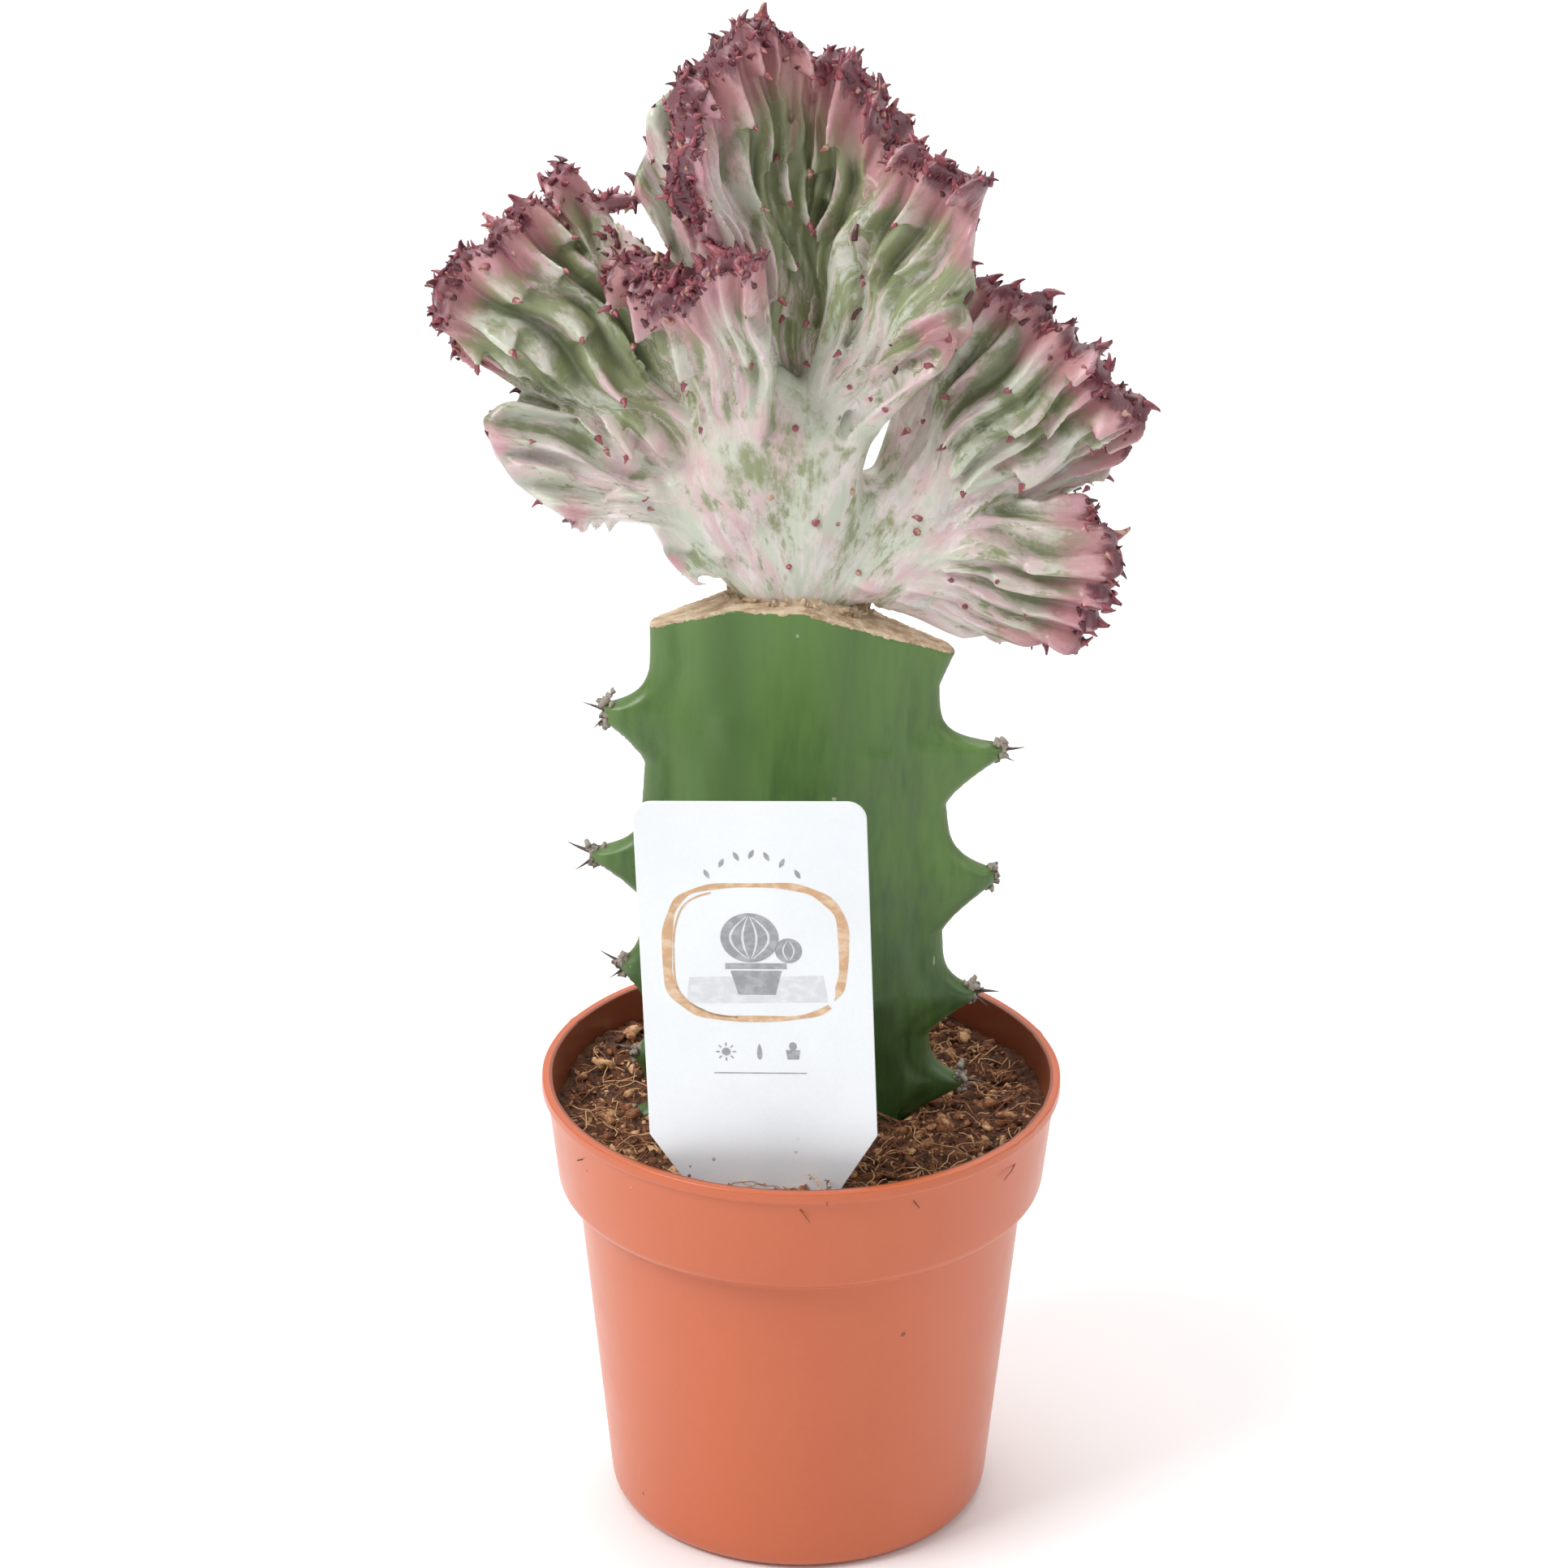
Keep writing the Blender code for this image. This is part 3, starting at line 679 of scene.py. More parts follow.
@dataclass(frozen=True)
class StemSkin(Finish):
    """Waxy green skin, lighter at the top, with vertical mottling, painted shade in two vertical furrow
    bands, flecks and scratches.
    """

    name: str = "stem_skin"
    roughness: float = 0.42
    coat: float = 0.15
    subsurface: float = 0.10
    fresh: Colour = (0.108, 0.208, 0.042)
    deep: Colour = (0.026, 0.070, 0.015)
    edge: Colour = (0.095, 0.150, 0.040)
    scar: Colour = (0.46, 0.48, 0.34)
    top: float = 0.197
    soil: float = 0.0855

    def dress(self, graph: Graph, shader: Node) -> None:
        """Colour by height, ribs, painted furrow shade and old marks.

        Args:
            graph: The finish's node graph.
            shader: The shader whose inputs are driven.
        """
        where = graph.coordinates()
        tall = graph.stretched(where, (1.0, 1.0, 0.22))
        cloud = self.mottle(graph, tall, 85.0, 620.0)
        lit = graph.step(graph.height(where), self.soil, self.top, -0.10, 0.22)
        share = graph.step(graph.plus(cloud, lit), 0.28, 0.82)
        base = graph.mix(share, self.deep, self.fresh)
        # Painted shade: two soft vertical dark bands on the front face, standing in for the shade of shallow
        # furrows.
        base = graph.mix(graph.times(graph.attribute("furrow"), 0.42), base, self.deep)
        rim = graph.attribute("margin")
        base = graph.mix(graph.times(rim, 0.55), base, self.edge)
        marks = self.flecks(graph, where, 150.0, 0.07, 0.72)
        scratch = self.flecks(graph, graph.stretched(where, (1.0, 1.0, 0.16)), 260.0, 0.05, 0.90)
        base = graph.mix(graph.times(marks, 0.55), base, self.scar)
        base = graph.mix(graph.times(scratch, 0.5), base, self.scar)
        graph.feed(shader.inputs["Roughness"], graph.step(cloud, 0.3, 0.7, 0.36, 0.52))
        fine = graph.noise(where, 1700.0, 3.0)
        relief = graph.plus(graph.times(fine, 0.4), graph.noise(tall, 160.0, 3.0))
        self.paint(graph, shader, base, relief, 0.22, 0.5 * MM)


@dataclass(frozen=True)
class Cork(Finish):
    """Dry tan callus of the graft, and its crumbs."""

    name: str = "cork"
    roughness: float = 0.85
    pale: Colour = (0.70, 0.56, 0.40)
    brown: Colour = (0.42, 0.28, 0.165)

    def dress(self, graph: Graph, shader: Node) -> None:
        """Colour by dry fibres.

        Args:
            graph: The finish's node graph.
            shader: The shader whose inputs are driven.
        """
        where = graph.coordinates()
        grain = graph.noise(graph.stretched(where, (0.4, 1.0, 1.0)), 520.0, 5.0, 0.65)
        base = graph.mix(graph.step(grain, 0.36, 0.62), self.brown, self.pale)
        self.paint(graph, shader, base, graph.noise(where, 1400.0, 5.0), 0.7, 0.8 * MM)


@dataclass(frozen=True)
class ThornHorn(Finish):
    """Grey-brown spines and the pads they stand on."""

    name: str = "thorn_horn"
    roughness: float = 0.55
    pad: Colour = (0.30, 0.26, 0.21)
    tip: Colour = (0.060, 0.035, 0.032)

    def dress(self, graph: Graph, shader: Node) -> None:
        """Colour by each spine's tint.

        Args:
            graph: The finish's node graph.
            shader: The shader whose inputs are driven.
        """
        where = graph.coordinates()
        tint = graph.attribute("tint")
        grain = graph.step(graph.noise(where, 1300.0, 3.0), 0.35, 0.65, -0.3, 0.3)
        base = graph.mix(graph.step(graph.plus(tint, grain), 0.2, 0.8), self.tip, self.pad)
        self.paint(graph, shader, base, graph.noise(where, 2200.0), 0.4, 0.4 * MM)


@dataclass(frozen=True)
class CrestSkin(Finish):
    """Waxy variegated skin: pale pink and mint, green streaks, red growing edges, painted shade in the folds
    and under the hooks, and pale ridge lines that are partly painted highlight.
    """

    name: str = "crest_skin"
    roughness: float = 0.40
    coat: float = 0.18
    subsurface: float = 0.14
    milk: Colour = (0.74, 0.66, 0.64)
    mint: Colour = (0.54, 0.58, 0.47)
    rose: Colour = (0.64, 0.46, 0.465)
    leaf: Colour = (0.225, 0.265, 0.112)
    valley_shade: Colour = (0.045, 0.058, 0.022)
    line: Colour = (0.56, 0.58, 0.46)
    pink: Colour = (0.54, 0.205, 0.260)
    wine: Colour = (0.125, 0.030, 0.045)
    dry: Colour = (0.36, 0.16, 0.13)

    def _streaks(self, graph: Graph, heart: Socket, scale: Point, detail: float,
                 rough: float = 0.6) -> Socket:
        """Noise drawn out along the ribs, and about the graft in the heart of the crest.

        Args:
            graph: The finish's node graph.
            heart: How far the place lies inside the heart.
            scale: Cycles per millimetre across, along and through.
            detail: Finer layers of the noise.
            rough: Strength of those layers.

        Returns:
            The noise's value.
        """
        along, fanned = (graph.noise(graph.stretched(graph.attribute(name, "Vector"), scale), 1.0,
                                     detail, rough) for name in ("flow", "fan"))
        return graph.call("ShaderNodeMix", {0: heart, 2: along, 3: fanned}, data_type='FLOAT')

    def dress(self, graph: Graph, shader: Node) -> None:
        """Colour along the ribs by streaks, painted shade in the folds, partly painted highlights on the
        ridges and distance from the growing edge.

        Args:
            graph: The finish's node graph.
            shader: The shader whose inputs are driven.
        """
        where = graph.coordinates()
        heart, rim, ridge, green, blush = (
            graph.attribute(name) for name in ("heart", "rim", "ridge", "green", "blush"))
        tones = self._streaks(graph, heart, (0.11, 0.045, 0.2), 2.0)
        patches = self._streaks(graph, heart, (0.17, 0.085, 0.3), 5.0, 0.62)
        streaks = self._streaks(graph, heart, (0.42, 0.07, 0.5), 5.0, 0.66)
        dashes = self._streaks(graph, heart, (1.05, 0.24, 0.7), 3.0)
        base = graph.mix(graph.step(tones, 0.42, 0.58), self.mint, self.rose)
        base = graph.mix(graph.step(streaks, 0.42, 0.62), base, self.milk)
        sunk = graph.math('SUBTRACT', 1.0, ridge)
        leafy = graph.times(patches, 0.5)
        for value, share in ((streaks, 0.5), (green, 0.26), (sunk, 0.18), (heart, 0.045)):
            leafy = graph.plus(leafy, graph.times(value, share))
        base = graph.mix(graph.step(leafy, 0.63, 0.76, 0.0, 0.90), base, self.leaf)
        specks = graph.times(graph.step(dashes, 0.55, 0.65), graph.step(patches, 0.44, 0.58))
        base = graph.mix(graph.times(specks, 0.75), base, self.leaf)
        # Painted shade: dark in the valleys and just under each hook, stronger where the skin is green.
        gloom = graph.step(green, 0.0, 0.9, 0.42, 0.84)
        depth = graph.times(graph.step(sunk, 0.55, 1.0), gloom)
        base = graph.mix(depth, base, self.valley_shade)
        # Pale lines along the ridge crests: painted highlight together with the skin's own pale lines.
        lines = graph.times(graph.step(ridge, 0.66, 0.95), graph.step(streaks, 0.38, 0.56))
        base = graph.mix(graph.times(lines, 0.62), base, self.line)
        uneven = graph.plus(rim, graph.step(streaks, 0.3, 0.7, -2.6, 2.6))
        reach = graph.math('DIVIDE', uneven, blush)
        base = graph.mix(graph.step(reach, 1.1, 0.35, 0.0, 0.72), base, self.pink)
        margin = graph.plus(graph.times(blush, 0.42), 3.6)
        reach = graph.math('DIVIDE', uneven, margin)
        base = graph.mix(graph.step(reach, 0.46, 0.10, 0.0, 0.88), base, self.wine)
        scars = self.flecks(graph, where, 85.0, 0.06, 0.86)
        base = graph.mix(graph.times(scars, 0.6), base, self.dry)
        graph.feed(shader.inputs["Roughness"], graph.step(streaks, 0.3, 0.7, 0.30, 0.46))
        relief = graph.plus(graph.times(graph.noise(where, 1500.0, 3.0), 0.25), streaks)
        self.paint(graph, shader, base, relief, 0.30, 0.7 * MM)


@dataclass(frozen=True)
class CrestTooth(Finish):
    """Dark red young teeth of the growing edge, some with pale dry tips."""

    name: str = "crest_tooth"
    roughness: float = 0.38
    coat: float = 0.2
    wine: Colour = (0.095, 0.020, 0.028)
    ruby: Colour = (0.30, 0.068, 0.090)
    straw: Colour = (0.50, 0.32, 0.22)

    def dress(self, graph: Graph, shader: Node) -> None:
        """Colour by each tooth's tint.

        Args:
            graph: The finish's node graph.
            shader: The shader whose inputs are driven.
        """
        where = graph.coordinates()
        tint = graph.attribute("tint")
        uneven = graph.plus(tint, graph.step(graph.noise(where, 700.0), 0.3, 0.7, -0.25, 0.25))
        base = graph.mix(graph.step(uneven, 0.15, 0.75), self.wine, self.ruby)
        base = graph.mix(graph.step(uneven, 0.93, 1.12), base, self.straw)
        self.paint(graph, shader, base, graph.noise(where, 2000.0), 0.3, 0.4 * MM)


@dataclass(frozen=True)
class LabelPlastic(Finish):
    """Thin white sheet plastic with a faint haze."""

    name: str = "label_plastic"
    roughness: float = 0.38
    white: Colour = (0.84, 0.87, 0.90)
    haze: Colour = (0.79, 0.82, 0.85)
    speck: Colour = (0.16, 0.075, 0.035)
    clean_above: float = 104.0 * MM
    dirty_below: float = 88.0 * MM

    def dress(self, graph: Graph, shader: Node) -> None:
        """Colour by a faint haze and a few specks of soil near the foot.

        Args:
            graph: The finish's node graph.
            shader: The shader whose inputs are driven.
        """
        where = graph.coordinates()
        mottle = self.mottle(graph, where, 45.0, 1500.0)
        base = graph.mix(graph.step(mottle, 0.35, 0.7), self.white, self.haze)
        low = graph.step(graph.height(where), self.clean_above, self.dirty_below)
        specks = self.flecks(graph, where, 420.0, 0.16, 0.70)
        base = graph.mix(graph.times(specks, low), base, self.speck)
        graph.feed(shader.inputs["Roughness"], graph.step(mottle, 0.3, 0.7, 0.33, 0.45))
        self.paint(graph, shader, base, graph.noise(where, 1800.0), 0.05, 0.1 * MM)


@dataclass(frozen=True)
class PrintInk(Finish):
    """Matt printing ink, a little uneven."""

    name: str = "print_ink"
    roughness: float = 0.6
    ink: Colour = (0.60, 0.37, 0.21)
    thin: Colour = (0.74, 0.55, 0.38)

    def dress(self, graph: Graph, shader: Node) -> None:
        """Colour by the ink's thickness.

        Args:
            graph: The finish's node graph.
            shader: The shader whose inputs are driven.
        """
        where = graph.coordinates()
        cover = graph.noise(graph.stretched(where, (1.0, 1.0, 1.6)), 420.0, 4.0)
        base = graph.mix(graph.step(cover, 0.40, 0.68), self.ink, self.thin)
        self.paint(graph, shader, base, cover, 0.05, 0.1 * MM)


@dataclass(frozen=True)
class StudioPaper(Finish):
    """Plain pale floor."""

    name: str = "studio_paper"
    roughness: float = 0.9
    tone: Colour = (0.93, 0.93, 0.93)
    light: Colour = (0.95, 0.95, 0.95)

    def dress(self, graph: Graph, shader: Node) -> None:
        """Nearly even pale paper."""
        cloud = graph.noise(graph.coordinates(), 2.0)
        graph.feed(shader.inputs["Base Color"], graph.mix(cloud, self.tone, self.light))


# --------------------------------------------------------------------------- geometry nodes


class Scatter(Enum):
    """What a scattering tree sets down."""

    THORN = "thorn"
    CHIP = "chip"
    FIBRE = "fibre"


class NodeModifier:
    """A geometry node tree with named inputs, run once on a piece."""

    def __init__(self, name: str, inputs: dict[str, float]) -> None:
        """Start a tree whose numbers are its named inputs.

        Args:
            name: The tree's name.
            inputs: Each input's name and starting value.
        """
        self.tree = bpy.data.node_groups.new(name, "GeometryNodeTree")
        face = self.tree.interface
        face.new_socket("Geometry", in_out='INPUT', socket_type="NodeSocketGeometry")
        face.new_socket("Finish", in_out='INPUT', socket_type="NodeSocketMaterial")
        for title, value in inputs.items():
            socket = face.new_socket(title, in_out='INPUT', socket_type="NodeSocketFloat")
            socket.default_value = value
        face.new_socket("Geometry", in_out='OUTPUT', socket_type="NodeSocketGeometry")
        self.graph = Graph(self.tree)
        self.given = self.graph.add("NodeGroupInput")
        self.result = self.graph.add("NodeGroupOutput")

    def named(self, name: str, kind: str = 'FLOAT') -> Socket:
        """Read a value that the piece carries.

        Args:
            name: The layer's name.
            kind: Its data type.

        Returns:
            The value.
        """
        node = self.graph.add("GeometryNodeInputNamedAttribute", data_type=kind)
        node.inputs["Name"].default_value = name
        return node.outputs["Attribute"]

    def chance(self, low: object, high: object, seed: int) -> Socket:
        """Random number, or random vector where the limits are vectors.

        Args:
            low: Lower limit.
            high: Upper limit.
            seed: Seed of the draw.

        Returns:
            The random value.
        """
        if isinstance(low, tuple):
            return self.graph.call("FunctionNodeRandomValue", {0: low, 1: high, "Seed": seed}, 0,
                                   data_type='FLOAT_VECTOR')
        return self.graph.call("FunctionNodeRandomValue", {2: low, 3: high, "Seed": seed}, 1,
                               data_type='FLOAT')

    def strewn(self, instance: Socket, size: object, turn: object,
               tints: tuple[float, float]) -> Socket:
        """Strew copies of a shape over the surface, where it is marked as strewn.

        Args:
            instance: The shape.
            size: Random size of each copy.
            turn: Random turn of each copy.
            tints: Lowest and highest tint.

        Returns:
            The copies, each with its own tint.
        """
        graph, given = self.graph, self.given.outputs
        points = graph.add("GeometryNodeDistributePointsOnFaces", distribute_method='RANDOM')
        graph.feed(points.inputs["Mesh"], given["Geometry"])
        graph.feed(points.inputs["Density"], graph.times(self.named("strewn"), given["Density"]))
        graph.feed(points.inputs["Seed"], given["Seed"])
        placed = graph.call("GeometryNodeInstanceOnPoints",
                            {"Points": points.outputs["Points"], "Instance": instance,
                             "Rotation": turn, "Scale": size})
        tinted = graph.call("GeometryNodeStoreNamedAttribute",
                            {"Geometry": placed, "Name": "tint", "Value": self.chance(*tints, 11)},
                            data_type='FLOAT', domain='INSTANCE')
        return graph.call("GeometryNodeRealizeInstances", {0: tinted})

    def jostled(self, geometry: Socket, scale: float, reach: object) -> Socket:
        """Push points about by noise of a scale, as far as half the reach.

        Args:
            geometry: What is pushed.
            scale: Cycles of the noise per metre.
            reach: Greatest push, doubled.

        Returns:
            The pushed geometry.
        """
        graph = self.graph
        rough = graph.call("ShaderNodeTexNoise", {"Scale": scale, "Detail": 1.0}, "Color")
        push = graph.call("ShaderNodeVectorMath", {0: rough, 1: (-0.5, -0.5, -0.5)}, operation='ADD')
        push = graph.call("ShaderNodeVectorMath", {0: push, "Scale": reach}, operation='SCALE')
        return graph.call("GeometryNodeSetPosition", {"Geometry": geometry, "Offset": push})

    def close(self, geometry: Socket) -> None:
        """Set the finish and end the tree.

        Args:
            geometry: What the tree has made.
        """
        dressed = self.graph.call("GeometryNodeSetMaterial",
                                  {"Geometry": geometry, "Material": self.given.outputs["Finish"]})
        smoothed = self.graph.call("GeometryNodeSetShadeSmooth", {0: dressed})
        self.graph.feed(self.result.inputs["Geometry"], smoothed)

    def run(self, piece: Piece, finish: Material, **values: float) -> Piece:
        """Run the tree on a piece and keep the result as its mesh.

        Args:
            piece: The piece that carries the points or the surface.
            finish: Material for what the tree makes.
            values: Values for the tree's named inputs.

        Returns:
            The same piece, with its new mesh.
        """
        modifier = piece.modifiers.new(self.tree.name, 'NODES')
        modifier.node_group = self.tree
        for item in self.tree.interface.items_tree:
            if item.in_out != 'INPUT':
                continue
            if item.name == "Finish":
                modifier[item.identifier] = finish
            elif item.name in values:
                modifier[item.identifier] = values[item.name]
        made_plain(piece)
        if not piece.data.materials:
            dress_in(piece, finish)
        return piece


def thorn_tree() -> NodeModifier:
    """Tree that stands a bent, tapering thorn on each point, along its aim.

    Returns:
        The tree, with inputs for the thorn's length, radii and bend.
    """
    tree = NodeModifier("thorns", {"Length": 0.003, "Base": 0.0008, "Tip": 0.0001, "Bend": 0.25})
    graph, given = tree.graph, tree.given.outputs
    cone = graph.call("GeometryNodeMeshCone", {"Vertices": 6, "Side Segments": 4,
                                               "Radius Top": given["Tip"],
                                               "Radius Bottom": given["Base"],
                                               "Depth": given["Length"]}, "Mesh")
    height = graph.height(graph.add("GeometryNodeInputPosition").outputs[0])
    share = graph.math('DIVIDE', height, given["Length"])
    lean = graph.times(graph.times(share, share),
                      graph.times(given["Bend"], given["Length"]))
    offset = graph.call("ShaderNodeCombineXYZ", {"X": lean})
    bent = graph.call("GeometryNodeSetPosition", {"Geometry": cone, "Offset": offset})
    turned = graph.call("FunctionNodeAlignRotationToVector", {"Vector": tree.named("aim", 'FLOAT_VECTOR')},
                        axis='Z')
    twist = graph.call("FunctionNodeAxisAngleToRotation", {"Axis": (0.0, 0.0, 1.0),
                                                           "Angle": tree.chance(0.0, TAU, 7)})
    turned = graph.call("FunctionNodeRotateRotation", {"Rotation": turned, "Rotate By": twist},
                        rotation_space='LOCAL')
    placed = graph.call("GeometryNodeInstanceOnPoints",
                        {"Points": given["Geometry"], "Instance": bent, "Rotation": turned,
                         "Scale": tree.named("size")})
    tree.close(graph.call("GeometryNodeRealizeInstances", {0: placed}))
    return tree


def chip_tree() -> NodeModifier:
    """Tree that strews irregular chips over a surface.

    Returns:
        The tree, with inputs for the chips' size and how many lie on a square metre.
    """
    tree = NodeModifier("chips", {"Size": 0.001, "Density": 400000.0, "Seed": 1.0})
    graph, given = tree.graph, tree.given.outputs
    chip = graph.call("GeometryNodeMeshIcoSphere", {"Radius": given["Size"], "Subdivisions": 1}, "Mesh")
    size = tree.chance((0.25, 0.25, 0.15), (1.5, 0.9, 0.6), 3)
    turn = tree.chance((-0.7, -0.7, 0.0), (0.7, 0.7, 6.28), 5)
    tree.close(tree.jostled(tree.strewn(chip, size, turn, (0.0, 1.0)), 900.0, given["Size"]))
    return tree


def fibre_tree() -> NodeModifier:
    """Tree that lays thin bowed fibres over a surface.

    Returns:
        The tree, with inputs for the fibres' length, thickness, rise and density.
    """
    tree = NodeModifier("fibres", {"Length": 0.012, "Radius": 0.0001, "Rise": 0.003,
                                   "Density": 50000.0, "Seed": 1.0})
    graph, given = tree.graph, tree.given.outputs
    half = graph.times(given["Length"], 0.5)
    ends = [graph.call("ShaderNodeCombineXYZ", {"X": end}) for end in (graph.times(half, -1.0), half)]
    middle = graph.call("ShaderNodeCombineXYZ", {"Y": graph.times(half, 0.5), "Z": given["Rise"]})
    arc = graph.call("GeometryNodeCurveQuadraticBezier",
                     {"Resolution": 9, "Start": ends[0], "Middle": middle, "End": ends[1]})
    size = tree.chance(0.35, 1.35, 3)
    turn = tree.chance((-0.5, -0.5, 0.0), (0.5, 0.5, 6.28), 5)
    curly = tree.jostled(tree.strewn(arc, size, turn, (0.25, 1.15)), 260.0, 4.0 * MM)
    ring = graph.call("GeometryNodeCurvePrimitiveCircle", {"Resolution": 4, "Radius": given["Radius"]})
    tree.close(graph.call("GeometryNodeCurveToMesh", {"Curve": curly, "Profile Curve": ring,
                                                      "Fill Caps": True}))
    return tree


@dataclass
class Toolbox:
    """Finishes and node trees that the sub-assemblies share."""

    effects: SharedEffects = field(default_factory=SharedEffects)
    trees: dict[Scatter, NodeModifier] = field(default_factory=dict)

    def tree(self, kind: Scatter) -> NodeModifier:
        """Give back a scattering tree, built the first time it is asked for.

        Args:
            kind: What it sets down.

        Returns:
            The tree.
        """
        makers = {Scatter.THORN: thorn_tree, Scatter.CHIP: chip_tree, Scatter.FIBRE: fibre_tree}
        if kind not in self.trees:
            self.trees[kind] = makers[kind]()
        return self.trees[kind]

    def thorns(self, name: str, points: Array, aims: Array, sizes: Array,
               tints: Array, finish: Material, **shape: float) -> Piece:
        """Stand thorns on points.

        Args:
            name: The piece's name.
            points: Where each thorn stands.
            aims: Which way each one points.
            sizes: How many times the basic size each one is.
            tints: Each one's place in the finish's range of colours.
            finish: Their material.
            shape: Length, Base, Tip and Bend of the basic thorn.

        Returns:
            One piece with every thorn.
        """
        piece = new_piece(name, points, [])
        set_floats(piece, "aim", aims)
        set_floats(piece, "size", sizes)
        set_floats(piece, "tint", tints)
        return self.tree(Scatter.THORN).run(piece, finish, **shape)


# --------------------------------------------------------------------------- crest


@dataclass(frozen=True)
class Lobe:
    """One fan of the crest, from a short root line out to its rim.

    Points are (x, depth, height above the graft seat) in millimetres.  The growing part of the
    rim carries the red teeth, given as shares of the rim's length; accents are further corners,
    given as (x, height), where the rim reddens.  Green counts from the share leafy_from of the
    rim, blush is how far the red reaches, and crumbs is the share of small teeth that stand.
    The pitch of the ribs, the length of the tubercles, their relief, the rim's teeth, its half
    thickness and its wave are in millimetres too.
    """

    name: str
    root: tuple[Point, Point]
    rim: tuple[Point, ...]
    growing: tuple[float, float] = (0.0, 1.0)
    accents: tuple[tuple[float, float], ...] = ()
    green: float = 0.4
    leafy_from: float = -1.0
    blush: float = 12.0
    rib_pitch: float = 5.6
    tubercle: float = 14.0
    relief: float = 1.9
    rim_tooth: float = 3.0
    rim_half: float = 1.8
    crumbs: float = 1.0
    wave: float = 1.0


LOBES = (
    Lobe("left", ((-8.0, 3.0, 6.0), (-5.0, 1.5, 15.0)),
         ((-14, 2, 5), (-23, 0, 8), (-27.5, -2, 10.5), (-25.5, 0, 14), (-30.5, -2, 22.5),
          (-36, -3, 24), (-45.5, -8, 20), (-54.5, -8, 27), (-60, -6, 34), (-61, -4, 39),
          (-54.5, 2, 41), (-60.5, 3, 47), (-65.5, 2, 54), (-68.5, -4, 66), (-61, -3, 72),
          (-54, 3, 77), (-49.5, 6, 78), (-47.5, 7, 84.5), (-43, 8, 80.5), (-41.5, 7, 77),
          (-39.5, 5, 73), (-37.5, 2, 69.5), (-33.5, -2, 67.5), (-28, -9, 68.5), (-22, -15, 68)),
         growing=(0.50, 1.0), accents=((-60, 34), (-45.5, 20), (-27.5, 10.5), (-60.5, 47)),
         green=0.50, leafy_from=0.36, blush=11.0, rib_pitch=7.2, tubercle=14.0,
         relief=6.2, rim_tooth=3.2, wave=1.6),
    Lobe("front_left", ((-6.0, 1.5, 12.0), (-4.0, 0.5, 14.0)),
         ((-30.5, -8, 68), (-22.5, -16, 68), (-17, -21, 76), (-8, -25, 78)),
         green=0.20, blush=15.0, rib_pitch=5.6, tubercle=30.0, relief=1.6, rim_tooth=1.5, wave=0.6),
    Lobe("crown_back", ((-3.0, 4.5, 12.0), (3.0, 4.5, 12.0)),
         ((-20, 4, 69.5), (-24, 5, 75), (-32, 5, 80.5), (-31.5, 5, 85.5), (-29, 4, 92), (-28.5, 1, 98.5),
          (-22, 0, 104), (-15, 3, 108)),
         growing=(2.0, 3.0), accents=((-32, 80.5), (-29, 92)), green=0.2, blush=9.0, rib_pitch=8.0,
         relief=1.6, rim_tooth=5.0),
    Lobe("crown", ((-5.0, 4.0, 12.0), (4.0, 4.0, 12.0)),
         ((-17, -9, 71.5), (-21, -13, 83), (-24, -14, 93.5), (-22.5, -11, 103.5), (-17.5, -6, 110.5),
          (-10, -1, 115), (-3, 3, 109.5), (-1.5, 5, 104), (7, 1, 108), (12, -2, 103),
          (15, -2, 97.5), (13, 6, 91), (12, 8, 82)),
         green=0.72, leafy_from=0.30, blush=18.0, rib_pitch=6.8, tubercle=17.0, relief=5.6,
         rim_tooth=3.0, wave=1.6),
    Lobe("front_right", ((2.0, 1.0, 33.0), (5.0, -1.0, 30.0)),
         ((9, -7, 58), (9.5, -9, 70), (11, -8, 80), (15.5, -5, 92), (19, -8, 93), (25.5, -13, 91),
          (31.5, -18, 88), (31, -16, 77.5), (30, -14, 68), (27.5, -17, 58.5), (18, -12, 51),
          (10.5, -9, 43)),
         growing=(0.31, 0.51), accents=((27.5, 58.5), (31, 77.5)), green=0.50, blush=13.0,
         rib_pitch=7.4, tubercle=17.0, relief=5.4, crumbs=0.8, wave=1.4),
    Lobe("right", ((14.0, 4.0, 9.0), (14.0, 3.5, 6.0)),
         ((22.5, 3, 24), (22, 4, 36), (22, 6, 46), (26.5, 8, 56.5), (32, 8, 61), (38.5, 2, 62),
          (45, -5, 59), (52, -8, 53.5), (58.5, -4, 44.5), (62.5, 0, 40.5), (61.5, 4, 31.5),
          (57.5, 5, 25), (52, 4, 21.5), (45.5, 3, 16.5)),
         growing=(0.26, 0.80), green=0.34, blush=11.0, rib_pitch=6.2, tubercle=20.0, relief=5.0,
         rim_tooth=4.6, crumbs=0.6, wave=1.4),
    Lobe("low_right", ((6.0, 3.0, 8.0), (7.0, 3.0, 4.5)),
         ((40.5, -2, 16.5), (47, 2, 16), (54, -2, 18.5), (60, -8, 13.5), (57.5, -6, 5),
          (54, -4, -5), (38.5, 0, -8), (31.5, 0, -4.5), (24.5, 0, 3.5), (19, 0, 2), (12, 1, 1)),
         growing=(0.12, 0.56), green=0.2, blush=12.0, rib_pitch=6.6, tubercle=18.0, relief=3.4,
         rim_tooth=3.4, crumbs=0.3, wave=0.8),
)

